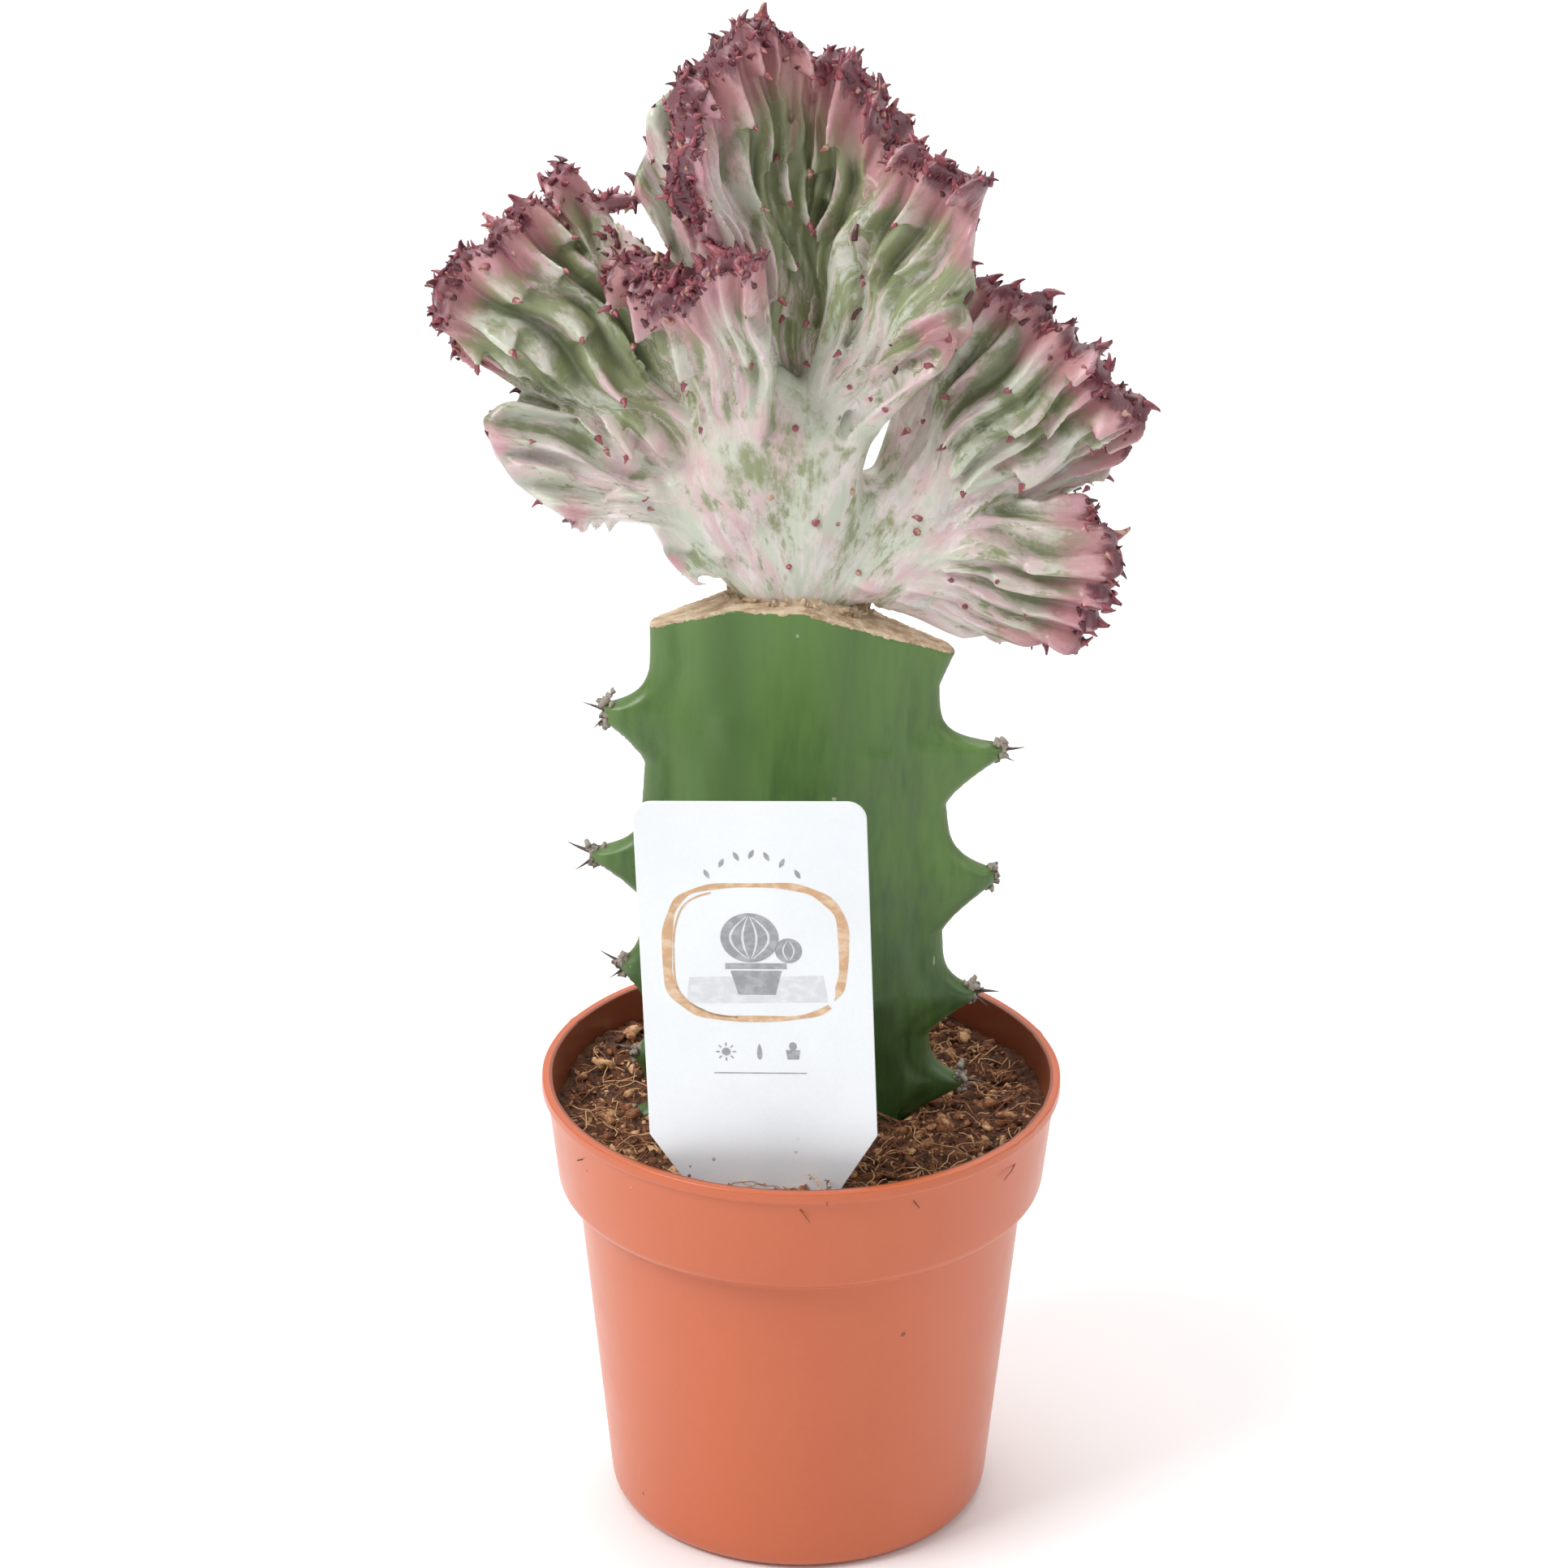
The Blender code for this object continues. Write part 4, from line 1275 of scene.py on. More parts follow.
# Each swelling's centre and half sizes, in millimetres above the graft seat.
SWELLS = (
    ((-3.0, 1.0, 15.0), (17.0, 8.0, 17.5)),
    ((-15.0, -1.0, 19.0), (15.0, 6.0, 13.0)),
    ((-9.0, -3.5, 32.0), (13.0, 6.5, 18.0)),
    ((1.5, -2.0, 27.0), (9.5, 7.0, 20.0)),
    ((15.0, 2.0, 14.0), (16.0, 6.0, 12.5)),
    ((7.5, -3.0, 32.5), (4.4, 5.0, 8.0)),
)
BRIDGE = ((-36.5, 5.5, 78.6), (5.0, 1.6, 1.7))

# Old areoles of the heart as (x, height above the graft seat), in millimetres.
AREOLES = ((2.1, 16.3), (6.4, 15.5), (10.4, 4.3), (8.3, 43.6), (15.0, 40.7), (-1.9, 35.4), (21.6, 12.7),
           (-6.5, 21.7), (9.0, 21.8), (-3.0, 6.5))


@dataclass
class LobeSurface:
    """A lobe worked out as two grids of points, its front and its back, with their skin values."""

    lobe: Lobe
    seat: float
    rng: np.random.Generator
    grain: float = 0.5 * MM
    columns: int = 170
    sway: float = 1.7 * MM
    sway_length: float = 31.0 * MM
    sway_pitch: float = 70.0 * MM
    zigzag: float = 0.8 * MM
    ruffle_pitch: float = 19.0 * MM
    root_half: float = 7.0 * MM
    root_fade: float = 21.0 * MM
    round_off: float = 2.6 * MM
    hook: float = 2.4 * MM

    def __post_init__(self) -> None:
        """Work out the middle sheet, then both sides."""
        self._lay_sheet()
        self.sides = [self._side(sign) for sign in (1.0, -1.0)]

    def _placed(self, points: tuple[Point, ...]) -> Array:
        """Set millimetre points on the graft seat."""
        return np.array(points, dtype=float) * MM + np.array([0.0, 0.0, self.seat])

    def _lay_sheet(self) -> None:
        """Fan the middle sheet out from the root to a toothed rim."""
        lobe = self.lobe
        rim = spaced_line(self._placed(lobe.rim), self.grain)
        count = len(rim)
        root_a, root_b = self._placed(lobe.root)
        along = np.linspace(0.0, 1.0, count)
        root = root_a + (root_b - root_a) * along[:, None]
        self.rim_place = running(rim)
        ribs = max(3, round(self.rim_place[-1] / (lobe.rib_pitch * MM)))
        wobble = np.interp(np.linspace(0, ribs, count), np.arange(ribs + 1),
                           self.rng.uniform(-0.22, 0.22, ribs + 1))
        self.rib = self.rim_place / self.rim_place[-1] * ribs + wobble * np.sin(np.pi * along)
        self.rib_count = ribs + 3
        span = rim - root
        bend = root + 0.5 * span
        bend[:, 2] += 0.10 * lengths(span)[:, 0]
        out_way = (rim - bend) / lengths(rim - bend)
        low, high = lobe.growing
        self.young = smooth(low - 0.03, low, along) * smooth(high + 0.03, high, along)
        reach = self.rng.uniform(0.55, 1.25, self.rib_count)[np.floor(self.rib).astype(int) + 1]
        reach = reach * (0.15 + 0.85 * self.young)
        peak = 1.0 - np.abs(2.0 * (self.rib - np.floor(self.rib)) - 1.0)
        ends = np.minimum(smooth(0.0, 0.03, along), smooth(1.0, 0.97, along))
        rim = rim + out_way * (lobe.rim_tooth * MM * reach * peak**1.5 * ends)[:, None]
        share = np.linspace(0.0, 1.0, self.columns)[None, :, None]
        sheet = ((1 - share) ** 2 * root[:, None] + 2 * share * (1 - share) * bend[:, None]
                 + share**2 * rim[:, None])
        share = share[:, :, 0]
        turns = share * lengths(span) / self.sway_length + self.rim_place[:, None] / self.sway_pitch
        inner = smooth(0.0, 0.07, along) * smooth(1.0, 0.93, along)
        sway = np.sin(TAU * turns + len(lobe.name)) * self.sway * 4.0 * share * (1 - share) * inner[:, None]
        sheet = sheet + self._units(np.gradient(sheet, axis=0)) * sway[..., None]
        self.normal = self._normals(sheet)
        self.out_way = self._units(np.gradient(sheet, axis=1))
        beside = np.gradient(sheet, axis=0)
        beside -= (beside * self.out_way).sum(axis=2, keepdims=True) * self.out_way
        per_row = np.abs(np.gradient(self.rib))[:, None]
        crowding = lengths(beside)[..., 0] / np.maximum(per_row, 1e-6) / (lobe.rib_pitch * MM)
        self.fade = smooth(0.36, 0.85, crowding)
        self.coarse_fade = smooth(0.18, 0.42, crowding) * (1.0 - self.fade)
        zigzag = -np.cos(TAU * self.rib)[:, None] * self.fade
        ruffle = np.sin(TAU * self.rim_place / self.ruffle_pitch + len(lobe.name))[:, None] * share**2
        sheet = sheet + self.normal * (self.zigzag * zigzag + lobe.wave * MM * ruffle)[..., None]
        self.sheet = sheet
        out_steps = np.linalg.norm(np.diff(sheet, axis=1), axis=2)
        self.reach = np.concatenate([np.zeros((count, 1)), np.cumsum(out_steps, axis=1)], axis=1)
        self.to_rim = self.reach[:, -1:] - self.reach
        across = np.linalg.norm(np.diff(sheet, axis=0), axis=2)
        self.lateral = np.concatenate([np.zeros((1, self.columns)), np.cumsum(across, axis=0)], axis=0)

    @staticmethod
    def _units(vectors: Array) -> Array:
        """Vectors shortened to unit length."""
        return vectors / np.maximum(lengths(vectors), 1e-12)

    def _normals(self, sheet: Array) -> Array:
        """Unit normals of a sheet, facing the -Y side on the whole."""
        normal = self._units(np.cross(np.gradient(sheet, axis=0), np.gradient(sheet, axis=1)))
        return normal if normal[..., 1].mean() < 0 else -normal

    def _side(self, sign: float) -> dict[str, Array]:
        """Points and skin values of one side.

        Args:
            sign: 1 for the front, -1 for the back.

        Returns:
            Arrays over the grid: points, painted light and shade of the ribs from 0 to 1 (dark in the
            valleys and under each hook), place along the tubercle and place across the rib.
        """
        lobe = self.lobe
        rib = self.rib + (0.0 if sign > 0 else 0.5)
        index = np.floor(rib).astype(int)
        place = rib - index - 0.5
        stagger = 0.5 * (index % 2) + self.rng.uniform(0.0, 0.22, self.rib_count + 2)[index + 1]
        length = lobe.tubercle * MM * self.rng.uniform(0.85, 1.2, self.rib_count + 2)[index + 1]
        phase = np.mod(self.to_rim / length[:, None] + stagger[:, None], 1.0)
        under = 1.0 - smooth(0.90, 0.98, phase)
        rise = phase**1.5 * under
        crest = np.cos(np.pi * place)[:, None]
        broad = crest**1.5 * (0.55 + 0.45 * phase * under)
        beak = crest ** (3.0 + 9.0 * phase**2)
        fade = self.fade
        coarse = np.cos(np.pi * (np.mod(rib * 0.5, 1.0) - 0.5))[:, None] ** 1.6
        ridge = fade * (0.45 * broad + 0.65 * rise * beak) + self.coarse_fade * 0.28 * coarse
        swell = self.root_half - lobe.rim_half * MM
        body = lobe.rim_half * MM + swell * np.exp(-self.reach / self.root_fade)
        body = body + 0.9 * MM * np.exp(-self.to_rim / (5.0 * MM)) * self.young[:, None]
        thick = body + lobe.relief * MM * ridge
        to_edge = np.minimum(self.to_rim, np.minimum(self.lateral, self.lateral[-1:] - self.lateral))
        near = 1.0 - np.clip(to_edge / self.round_off, 0.0, 1.0)
        thick = thick * np.sqrt(1.0 - near**2)
        hook = -self.hook * phase**3 * under * beak * fade * smooth(0.0, 3.0 * MM, self.to_rim)
        points = self.sheet + sign * self.normal * thick[..., None] + self.out_way * hook[..., None]
        # Painted light and shade along each rib: dark in the valleys and just past each hook's drop, where
        # its shadow falls, lighter up to the next hook.
        shade = crest**1.5 * (0.12 + 0.58 * phase**0.8 * under) + 0.6 * rise**0.6 * beak
        tone = blend(0.55, np.clip(shade, 0.0, 1.0), fade)
        return {"points": points, "ridge": tone, "phase": phase,
                "place": np.broadcast_to(place[:, None], phase.shape)}

    def mesh(self) -> tuple[Array, Array]:
        """Closed body of the lobe.

        Returns:
            Points and quads.
        """
        rows, columns = self.reach.shape
        front, back = (side["points"].reshape(-1, 3) for side in self.sides)
        start = rows * columns
        first = np.arange(rows - 1) * columns
        root = np.stack([first, start + first, start + first + columns, first + columns], axis=1)
        faces = np.vstack([grid_faces(rows, columns), grid_faces(rows, columns, start, True), root])
        return np.vstack([front, back]), faces

    def skin(self) -> dict[str, Array]:
        """Skin values at every point of the mesh, the front's first.

        Returns:
            One array for each value, by name.
        """
        flow_u = np.broadcast_to(self.rim_place[:, None], self.reach.shape)
        offset = 37.0 * (sum(map(ord, self.lobe.name)) % 17)
        flows = [np.stack([flow_u / MM, self.reach / MM, np.full(self.reach.shape, layer)], axis=2)
                 for layer in (offset, offset + 11.0)]
        share = self.rim_place / self.rim_place[-1]
        low, high = self.lobe.growing
        bare = np.maximum(0.0, np.maximum(low - share, share - high)) * self.rim_place[-1]
        rim = np.sqrt(self.to_rim**2 + (1.3 * bare[:, None]) ** 2) / MM
        for x, height in self.lobe.accents:
            corner = np.array([x * MM, self.seat + height * MM])
            away = np.linalg.norm(self.sheet[..., (0, 2)] - corner, axis=2) / MM
            rim = np.minimum(rim, 1.0 + 2.2 * away)
        leafy = self.lobe.green * smooth(16.0 * MM, 34.0 * MM, self.reach)
        leafy = leafy * smooth(self.lobe.leafy_from, self.lobe.leafy_from + 0.16, share)[:, None]
        return {
            "flow": np.concatenate([flow.reshape(-1, 3) for flow in flows]),
            "rim": np.concatenate([rim.ravel()] * 2),
            "ridge": np.concatenate([side["ridge"].ravel() for side in self.sides]),
            "green": np.concatenate([leafy.ravel()] * 2),
            "blush": np.full(2 * rim.size, self.lobe.blush),
        }

    @staticmethod
    def _dips(values: Array, border: int) -> list[int]:
        """Places where a row of values is lowest, away from its ends."""
        return [i for i in range(border, len(values) - border)
                if values[i] <= values[i - 1] and values[i] < values[i + 1]]

    def rim_teeth(self) -> Thorns:
        """Small teeth crowded along the growing part of the rim.

        Returns:
            Points, aims and sizes.
        """
        points, aims, sizes = [], [], []
        share = self.rim_place / self.rim_place[-1]
        low, high = self.lobe.growing
        place = np.abs(self.rib - np.floor(self.rib) - 0.5)
        for i in self._dips(place, 2):
            way = self.out_way[i, -1] + self.rng.normal(0.0, 0.22, 3)
            points.append(self.sheet[i, -1] - 1.3 * MM * self.out_way[i, -1])
            aims.append(way / np.linalg.norm(way))
            sizes.append(self.rng.uniform(1.2, 1.9) * (1.0 if low <= share[i] <= high else 0.75))
        stride = max(1, round(0.95 * MM / self.grain))
        for row, (side, lean, inset) in enumerate(((0.0, 0.0, 0.0), (1.0, 0.55, 1.6), (-1.0, 0.55, 1.6),
                                                   (1.0, 0.9, 3.4), (-1.0, 0.9, 3.4))):
            for i in range(row % 3, len(share), stride * (1 if row < 3 else 2)):
                if not low <= share[i] <= high or self.rng.random() > self.lobe.crumbs:
                    continue
                inward = inset * MM * self.rng.uniform(0.6, 1.5)
                j = int(np.searchsorted(-self.to_rim[i], -inward))
                j = min(max(j, 0), self.columns - 1)
                normal = self.normal[i, j]
                way = self.out_way[i, -1] + side * lean * normal + self.rng.normal(0.0, 0.32, 3)
                if side == 0.0:
                    base = self.sheet[i, -1] - 0.5 * MM * self.out_way[i, -1]
                else:
                    skin = self.sides[0 if side > 0 else 1]["points"][i, j]
                    base = skin - 0.3 * MM * side * normal
                points.append(base)
                aims.append(way / np.linalg.norm(way))
                sizes.append(self.rng.uniform(0.45, 1.15))
        return np.array(points), np.array(aims), np.array(sizes)

    def tips(self) -> Thorns:
        """Places where a tubercle ends in its hooked tip.

        Returns:
            Points, aims and sizes.
        """
        points, aims, sizes = [], [], []
        for side, sign in zip(self.sides, (1.0, -1.0)):
            top = np.abs(side["place"][:, 0])
            for i in (dip for dip in self._dips(top, 1) if top[dip] < 0.08):
                drops = np.nonzero(np.diff(side["phase"][i]) > 0.5)[0] + 4
                drops = np.clip(drops, 0, self.columns - 1)
                for j in drops:
                    if self.fade[i, j] < 0.3 or self.to_rim[i, j] < 1.0 * MM:
                        continue
                    aim = sign * self.normal[i, j] - 0.55 * self.out_way[i, j]
                    points.append(side["points"][i, j] - 0.4 * MM * aim)
                    aims.append(aim / np.linalg.norm(aim))
                    sizes.append(self.rng.uniform(0.7, 1.2) * (0.6 + 0.4 * self.fade[i, j]))
        return np.array(points), np.array(aims), np.array(sizes)


class SkinWeb:
    """The points of a mesh and how they join, for evening values out along the skin."""

    def __init__(self, piece: Piece) -> None:
        """Read the mesh.

        Args:
            piece: The piece whose mesh is read.
        """
        self.piece = piece
        mesh = piece.data
        self.count = len(mesh.vertices)
        places = np.empty(3 * self.count)
        mesh.vertices.foreach_get("co", places)
        self.places = places.reshape(-1, 3)
        edges = np.empty(2 * len(mesh.edges), dtype=int)
        mesh.edges.foreach_get("vertices", edges)
        self.first, self.second = edges.reshape(-1, 2).T
        self.valence = np.maximum(np.bincount(self.first, minlength=self.count)
                                  + np.bincount(self.second, minlength=self.count), 1)

    def average(self, values: Array) -> Array:
        """Mean of the neighbours' values at each point.

        Args:
            values: One row for each point.

        Returns:
            The means, in the same shape.
        """
        if values.ndim == 2:
            return np.stack([self.average(values[:, k]) for k in range(values.shape[1])], axis=1)
        total = (np.bincount(self.first, values[self.second], self.count)
                 + np.bincount(self.second, values[self.first], self.count))
        return total / self.valence

    def move(self, places: Array) -> None:
        """Write new places for the points.

        Args:
            places: The new places, in metres.
        """
        self.places = places
        self.piece.data.vertices.foreach_set("co", places.ravel())
        self.piece.data.update()


@dataclass
class Crest:
    """The grafted fan: lobes grown together over a short oval trunk."""

    tools: Toolbox
    seat: float
    voxel: float = 0.50 * MM
    most_faces: float = 190000.0
    trunk_width: float = 12.6 * MM
    trunk_depth: float = 6.6 * MM
    trunk_centre: tuple[float, float] = (-1.0 * MM, 3.2 * MM)
    trunk_rise: float = 17.0 * MM
    bridge_teeth: int = 16
    heart_centre: tuple[float, float] = (-1.0, 14.0)
    heart_radii: tuple[float, float] = (27.0, 30.0)
    fan_depth: float = 14.0
    fan_reach: float = 26.0
    plain_layer: float = 500.0
    far_from_edge: float = 60.0
    seed: int = 20

    def build(self) -> list[Piece]:
        """Build the body, its growing-edge teeth and its tubercle tips.

        Returns:
            The crest's pieces, body first.
        """
        rng = np.random.default_rng(self.seed)
        surfaces = [LobeSurface(lobe, self.seat, rng) for lobe in LOBES]
        body = self._body(surfaces)
        finish = CrestTooth(self.tools.effects).make()
        return [body, self._teeth(surfaces, finish, rng), self._tips(surfaces, finish, rng),
                self._scars(body, finish, rng)]

    def _trunk(self) -> tuple[Array, list[tuple[int, ...]], dict[str, Array]]:
        """Short oval trunk on the graft, with its skin values.

        Returns:
            Its points, its faces and its skin values.
        """
        angle = circle(72)
        rings = []
        for level in np.linspace(-0.6 * MM, self.trunk_rise, 26):
            share = max(0.0, level / self.trunk_rise)
            close = math.sqrt(max(0.02, 1.0 - share**4))
            foot = 1.0 - 0.16 * math.exp(-((level / (2.2 * MM)) ** 2))
            wave = 1.0 + 0.05 * np.sin(5.0 * angle + 0.7) * share
            wide = close * foot * wave
            x = self.trunk_centre[0] + self.trunk_width * (1.0 + 0.3 * share) * wide * np.cos(angle)
            y = self.trunk_centre[1] + self.trunk_depth * wide * np.sin(angle)
            tilt = np.where(x > 0.0, -0.35 * x, 0.0) * (1.0 - share)
            z = self.seat + level + tilt
            rings.append(np.stack([x, y, z], axis=1))
        points, faces = stacked(rings)
        return points, faces, self._plain_skin(points, self.far_from_edge)

    def _swell(self, centre: Point, radii: Point) -> Body:
        """Egg-shaped swelling that fills the heart of the crest.

        Args:
            centre: Its centre above the graft seat, in millimetres.
            radii: Its half sizes, in millimetres.

        Returns:
            Its points and faces.
        """
        turn = circle(64)
        rings = []
        for dip in np.linspace(-0.49 * math.pi, 0.49 * math.pi, 40):
            ring = np.stack([np.cos(turn) * math.cos(dip), np.sin(turn) * math.cos(dip),
                             np.full(64, math.sin(dip))], axis=1)
            rings.append((ring * radii + centre) * MM + np.array([0.0, 0.0, self.seat]))
        return stacked(rings)

    def _plain_skin(self, points: Array, edge: float) -> dict[str, Array]:
        """Skin values of a part without ribs, with streaks that fan out from the graft.

        Args:
            points: The part's points.
            edge: Distance from a growing edge in millimetres.

        Returns:
            The same values as a lobe carries.
        """
        count = len(points)
        flow = self._fan(points) + np.array([0.0, 0.0, self.plain_layer])
        height = (points[:, 2] - self.seat) / MM
        middle = np.exp(-(((points[:, 0] / MM - 1.5) / 7.0) ** 2))
        leafy = 0.62 * smooth(20.0, 36.0, height) * middle
        return {"flow": flow, "rim": np.full(count, edge), "ridge": np.full(count, 0.55),
                "green": leafy, "blush": np.full(count, 9.0)}

    def _fan(self, points: Array) -> Array:
        """Polar place of points about the graft.

        Args:
            points: Points in metres.

        Returns:
            Sideways, outwards and depth, in millimetres.
        """
        x = points[:, 0] / MM - self.heart_centre[0]
        z = (points[:, 2] - self.seat) / MM + self.fan_depth
        turned = np.arctan2(x, z) * self.fan_reach
        return np.stack([turned, np.hypot(x, z), 0.6 * points[:, 1] / MM], axis=1)

    def _heart(self, points: Array) -> Array:
        """How far points lie inside the heart of the crest, from 0 to 1.

        Args:
            points: Points in metres.

        Returns:
            One share for each point.
        """
        sideways = points[:, 0] / MM - self.heart_centre[0]
        height = (points[:, 2] - self.seat) / MM - self.heart_centre[1]
        away = np.hypot(sideways / self.heart_radii[0], height / self.heart_radii[1])
        return smooth(1.3, 0.65, away)

    def _melt(self, web: SkinWeb, rounds: int = 26) -> None:
        """Smooth the heart of the crest until its lobes run into one another.

        Args:
            web: Points and links of the grown body.
            rounds: How many times the skin is evened out.
        """
        places = web.places
        weight = 0.55 * self._heart(places) * smooth(0.4, 2.2, (places[:, 2] - self.seat) / MM)
        for turn in range(rounds):
            share = np.maximum(weight, 0.12) if turn < 2 else weight
            places = places + share[:, None] * (web.average(places) - places)
        web.move(places)

    def _body(self, surfaces: list[LobeSurface]) -> Piece:
        """Grow the lobes and the trunk together and carry their skin values over.

        Args:
            surfaces: The lobes' surfaces.

        Returns:
            The crest's body.
        """
        trunk_points, trunk_faces, trunk_skin = self._trunk()
        points, faces, skins = [trunk_points], list(trunk_faces), [trunk_skin]
        start = len(trunk_points)
        for centre, radii in (*SWELLS, BRIDGE):
            swell_points, swell_faces = self._swell(centre, radii)
            points.append(swell_points)
            faces.extend(tuple(k + start for k in face) for face in swell_faces)
            edge = 1.0 if (centre, radii) == BRIDGE else self.far_from_edge
            skins.append(self._plain_skin(swell_points, edge))
            start += len(swell_points)
        for surface in surfaces:
            lobe_points, lobe_faces = surface.mesh()
            points.append(lobe_points)
            faces.extend((lobe_faces + start).tolist())
            skins.append(surface.skin())
            start += len(lobe_points)
        cloud = np.vstack(points)
        body = new_piece("crest_body", cloud, faces, merge=0.01 * MM)
        grow_together(body, self.voxel)
        self._melt(SkinWeb(body))
        thin = body.modifiers.new("thin_out", 'DECIMATE')
        thin.ratio = min(1.0, self.most_faces / (2.0 * len(body.data.polygons)))
        made_plain(body)
        self._carry_skin(SkinWeb(body), cloud, skins)
        dress_in(body, CrestSkin(self.tools.effects).make())
        return body

    def _carry_skin(self, web: SkinWeb, cloud: Array, skins: list[dict[str, Array]]) -> None:
        """Give each point of the grown body the skin values of the nearest lobe point.

        Args:
            web: Points and links of the grown body.
            cloud: Points of all the lobes, before they grew together.
            skins: Skin values of each part of the cloud.
        """
        every_other = slice(None, None, 2)
        sparse = cloud[every_other]
        tree = kdtree.KDTree(len(sparse))
        for index, point in enumerate(sparse):
            tree.insert(point, index)
        tree.balance()
        nearest = np.array([tree.find(place)[1] for place in web.places])
        soften = {"green": 80, "blush": 30, "rim": 3, "ridge": 1}
        for name in skins[0]:
            values = np.concatenate([skin[name] for skin in skins])[every_other][nearest]
            for _ in range(soften.get(name, 0)):
                values = web.average(values)
            set_floats(web.piece, name, values)
        set_floats(web.piece, "fan", self._fan(web.places))
        set_floats(web.piece, "heart", self._heart(web.places))

    def _scars(self, body: Piece, finish: Material, rng: np.random.Generator) -> Piece:
        """Old dry areoles dotted over the heart of the crest, front and back.

        Args:
            body: The crest's body.
            finish: The finish.
            rng: Source of the random draws.

        Returns:
            One piece with every areole.
        """
        points, aims = [], []
        for side in (-1.0, 1.0):
            for x, z in AREOLES:
                start = Vector((side * -x * MM, side * 0.08, self.seat + z * MM + side * -3.0 * MM))
                hit, place, normal, _ = body.ray_cast(start, Vector((0.0, -side, 0.0)))
                if hit:
                    points.append(place - 0.45 * MM * normal)
                    aims.append(normal)
        return self.tools.thorns("crest_areoles", np.array(points), np.array(aims),
                                 rng.uniform(0.7, 1.15, len(points)), rng.uniform(0.6, 1.2, len(points)),
                                 finish, Length=1.0 * MM, Base=1.0 * MM, Tip=0.45 * MM, Bend=0.1)

    @staticmethod
    def _joined(found: list[Thorns]) -> Thorns:
        """Join the thorns of several lobes, leaving out a lobe that has none."""
        points, aims, sizes = zip(*(part for part in found if len(part[0])))
        return np.vstack(points), np.vstack(aims), np.concatenate(sizes)

    def _teeth(self, surfaces: list[LobeSurface], finish: Material, rng: np.random.Generator) -> Piece:
        """Stand the crowded young teeth along the growing edges.

        Args:
            surfaces: The lobes' surfaces.
            finish: The finish.
            rng: Source of the random draws.

        Returns:
            One piece with every tooth.
        """
        found = [surface.rim_teeth() for surface in surfaces]
        points, aims, sizes = self._joined([*found, self._bridge_teeth(rng)])
        return self.tools.thorns("crest_edge_teeth", points, aims, sizes, rng.uniform(0.0, 1.0, len(points)),
                                 finish, Length=1.75 * MM, Base=0.80 * MM, Tip=0.22 * MM, Bend=0.75)

    def _bridge_teeth(self, rng: np.random.Generator) -> Thorns:
        """Teeth on the thin strand that joins the left fan to the crown above the gap.

        Args:
            rng: Source of the random draws.

        Returns:
            Points, aims and sizes.
        """
        centre, radii = (np.array(part) * MM for part in BRIDGE)
        count = self.bridge_teeth
        along = rng.uniform(-0.8, 0.8, count)
        turn = rng.uniform(0.0, TAU, count)
        waist = np.sqrt(1.0 - along**2) * 0.7
        aims = np.stack([0.5 * rng.normal(0.0, 1.0, count), np.cos(turn), np.sin(turn)], axis=1)
        aims /= lengths(aims)
        points = centre + np.stack([along, waist * np.cos(turn), waist * np.sin(turn)], axis=1) * radii
        points[:, 2] += self.seat
        return points, aims, rng.uniform(0.6, 1.2, count)

    def _tips(self, surfaces: list[LobeSurface], finish: Material, rng: np.random.Generator) -> Piece:
        """Stand a hooked tip where each tubercle ends.

        Args:
            surfaces: The lobes' surfaces.
            finish: The finish.
            rng: Source of the random draws.

        Returns:
            One piece with every tip.
        """
        points, aims, sizes = self._joined([surface.tips() for surface in surfaces])
        tints = np.clip(0.5 + rng.uniform(0.0, 0.55, len(points)), 0.0, 1.1)
        return self.tools.thorns("crest_tubercle_tips", points, aims, sizes, tints, finish,
                                 Length=1.5 * MM, Base=0.68 * MM, Tip=0.16 * MM, Bend=0.35)


# --------------------------------------------------------------------------- pot


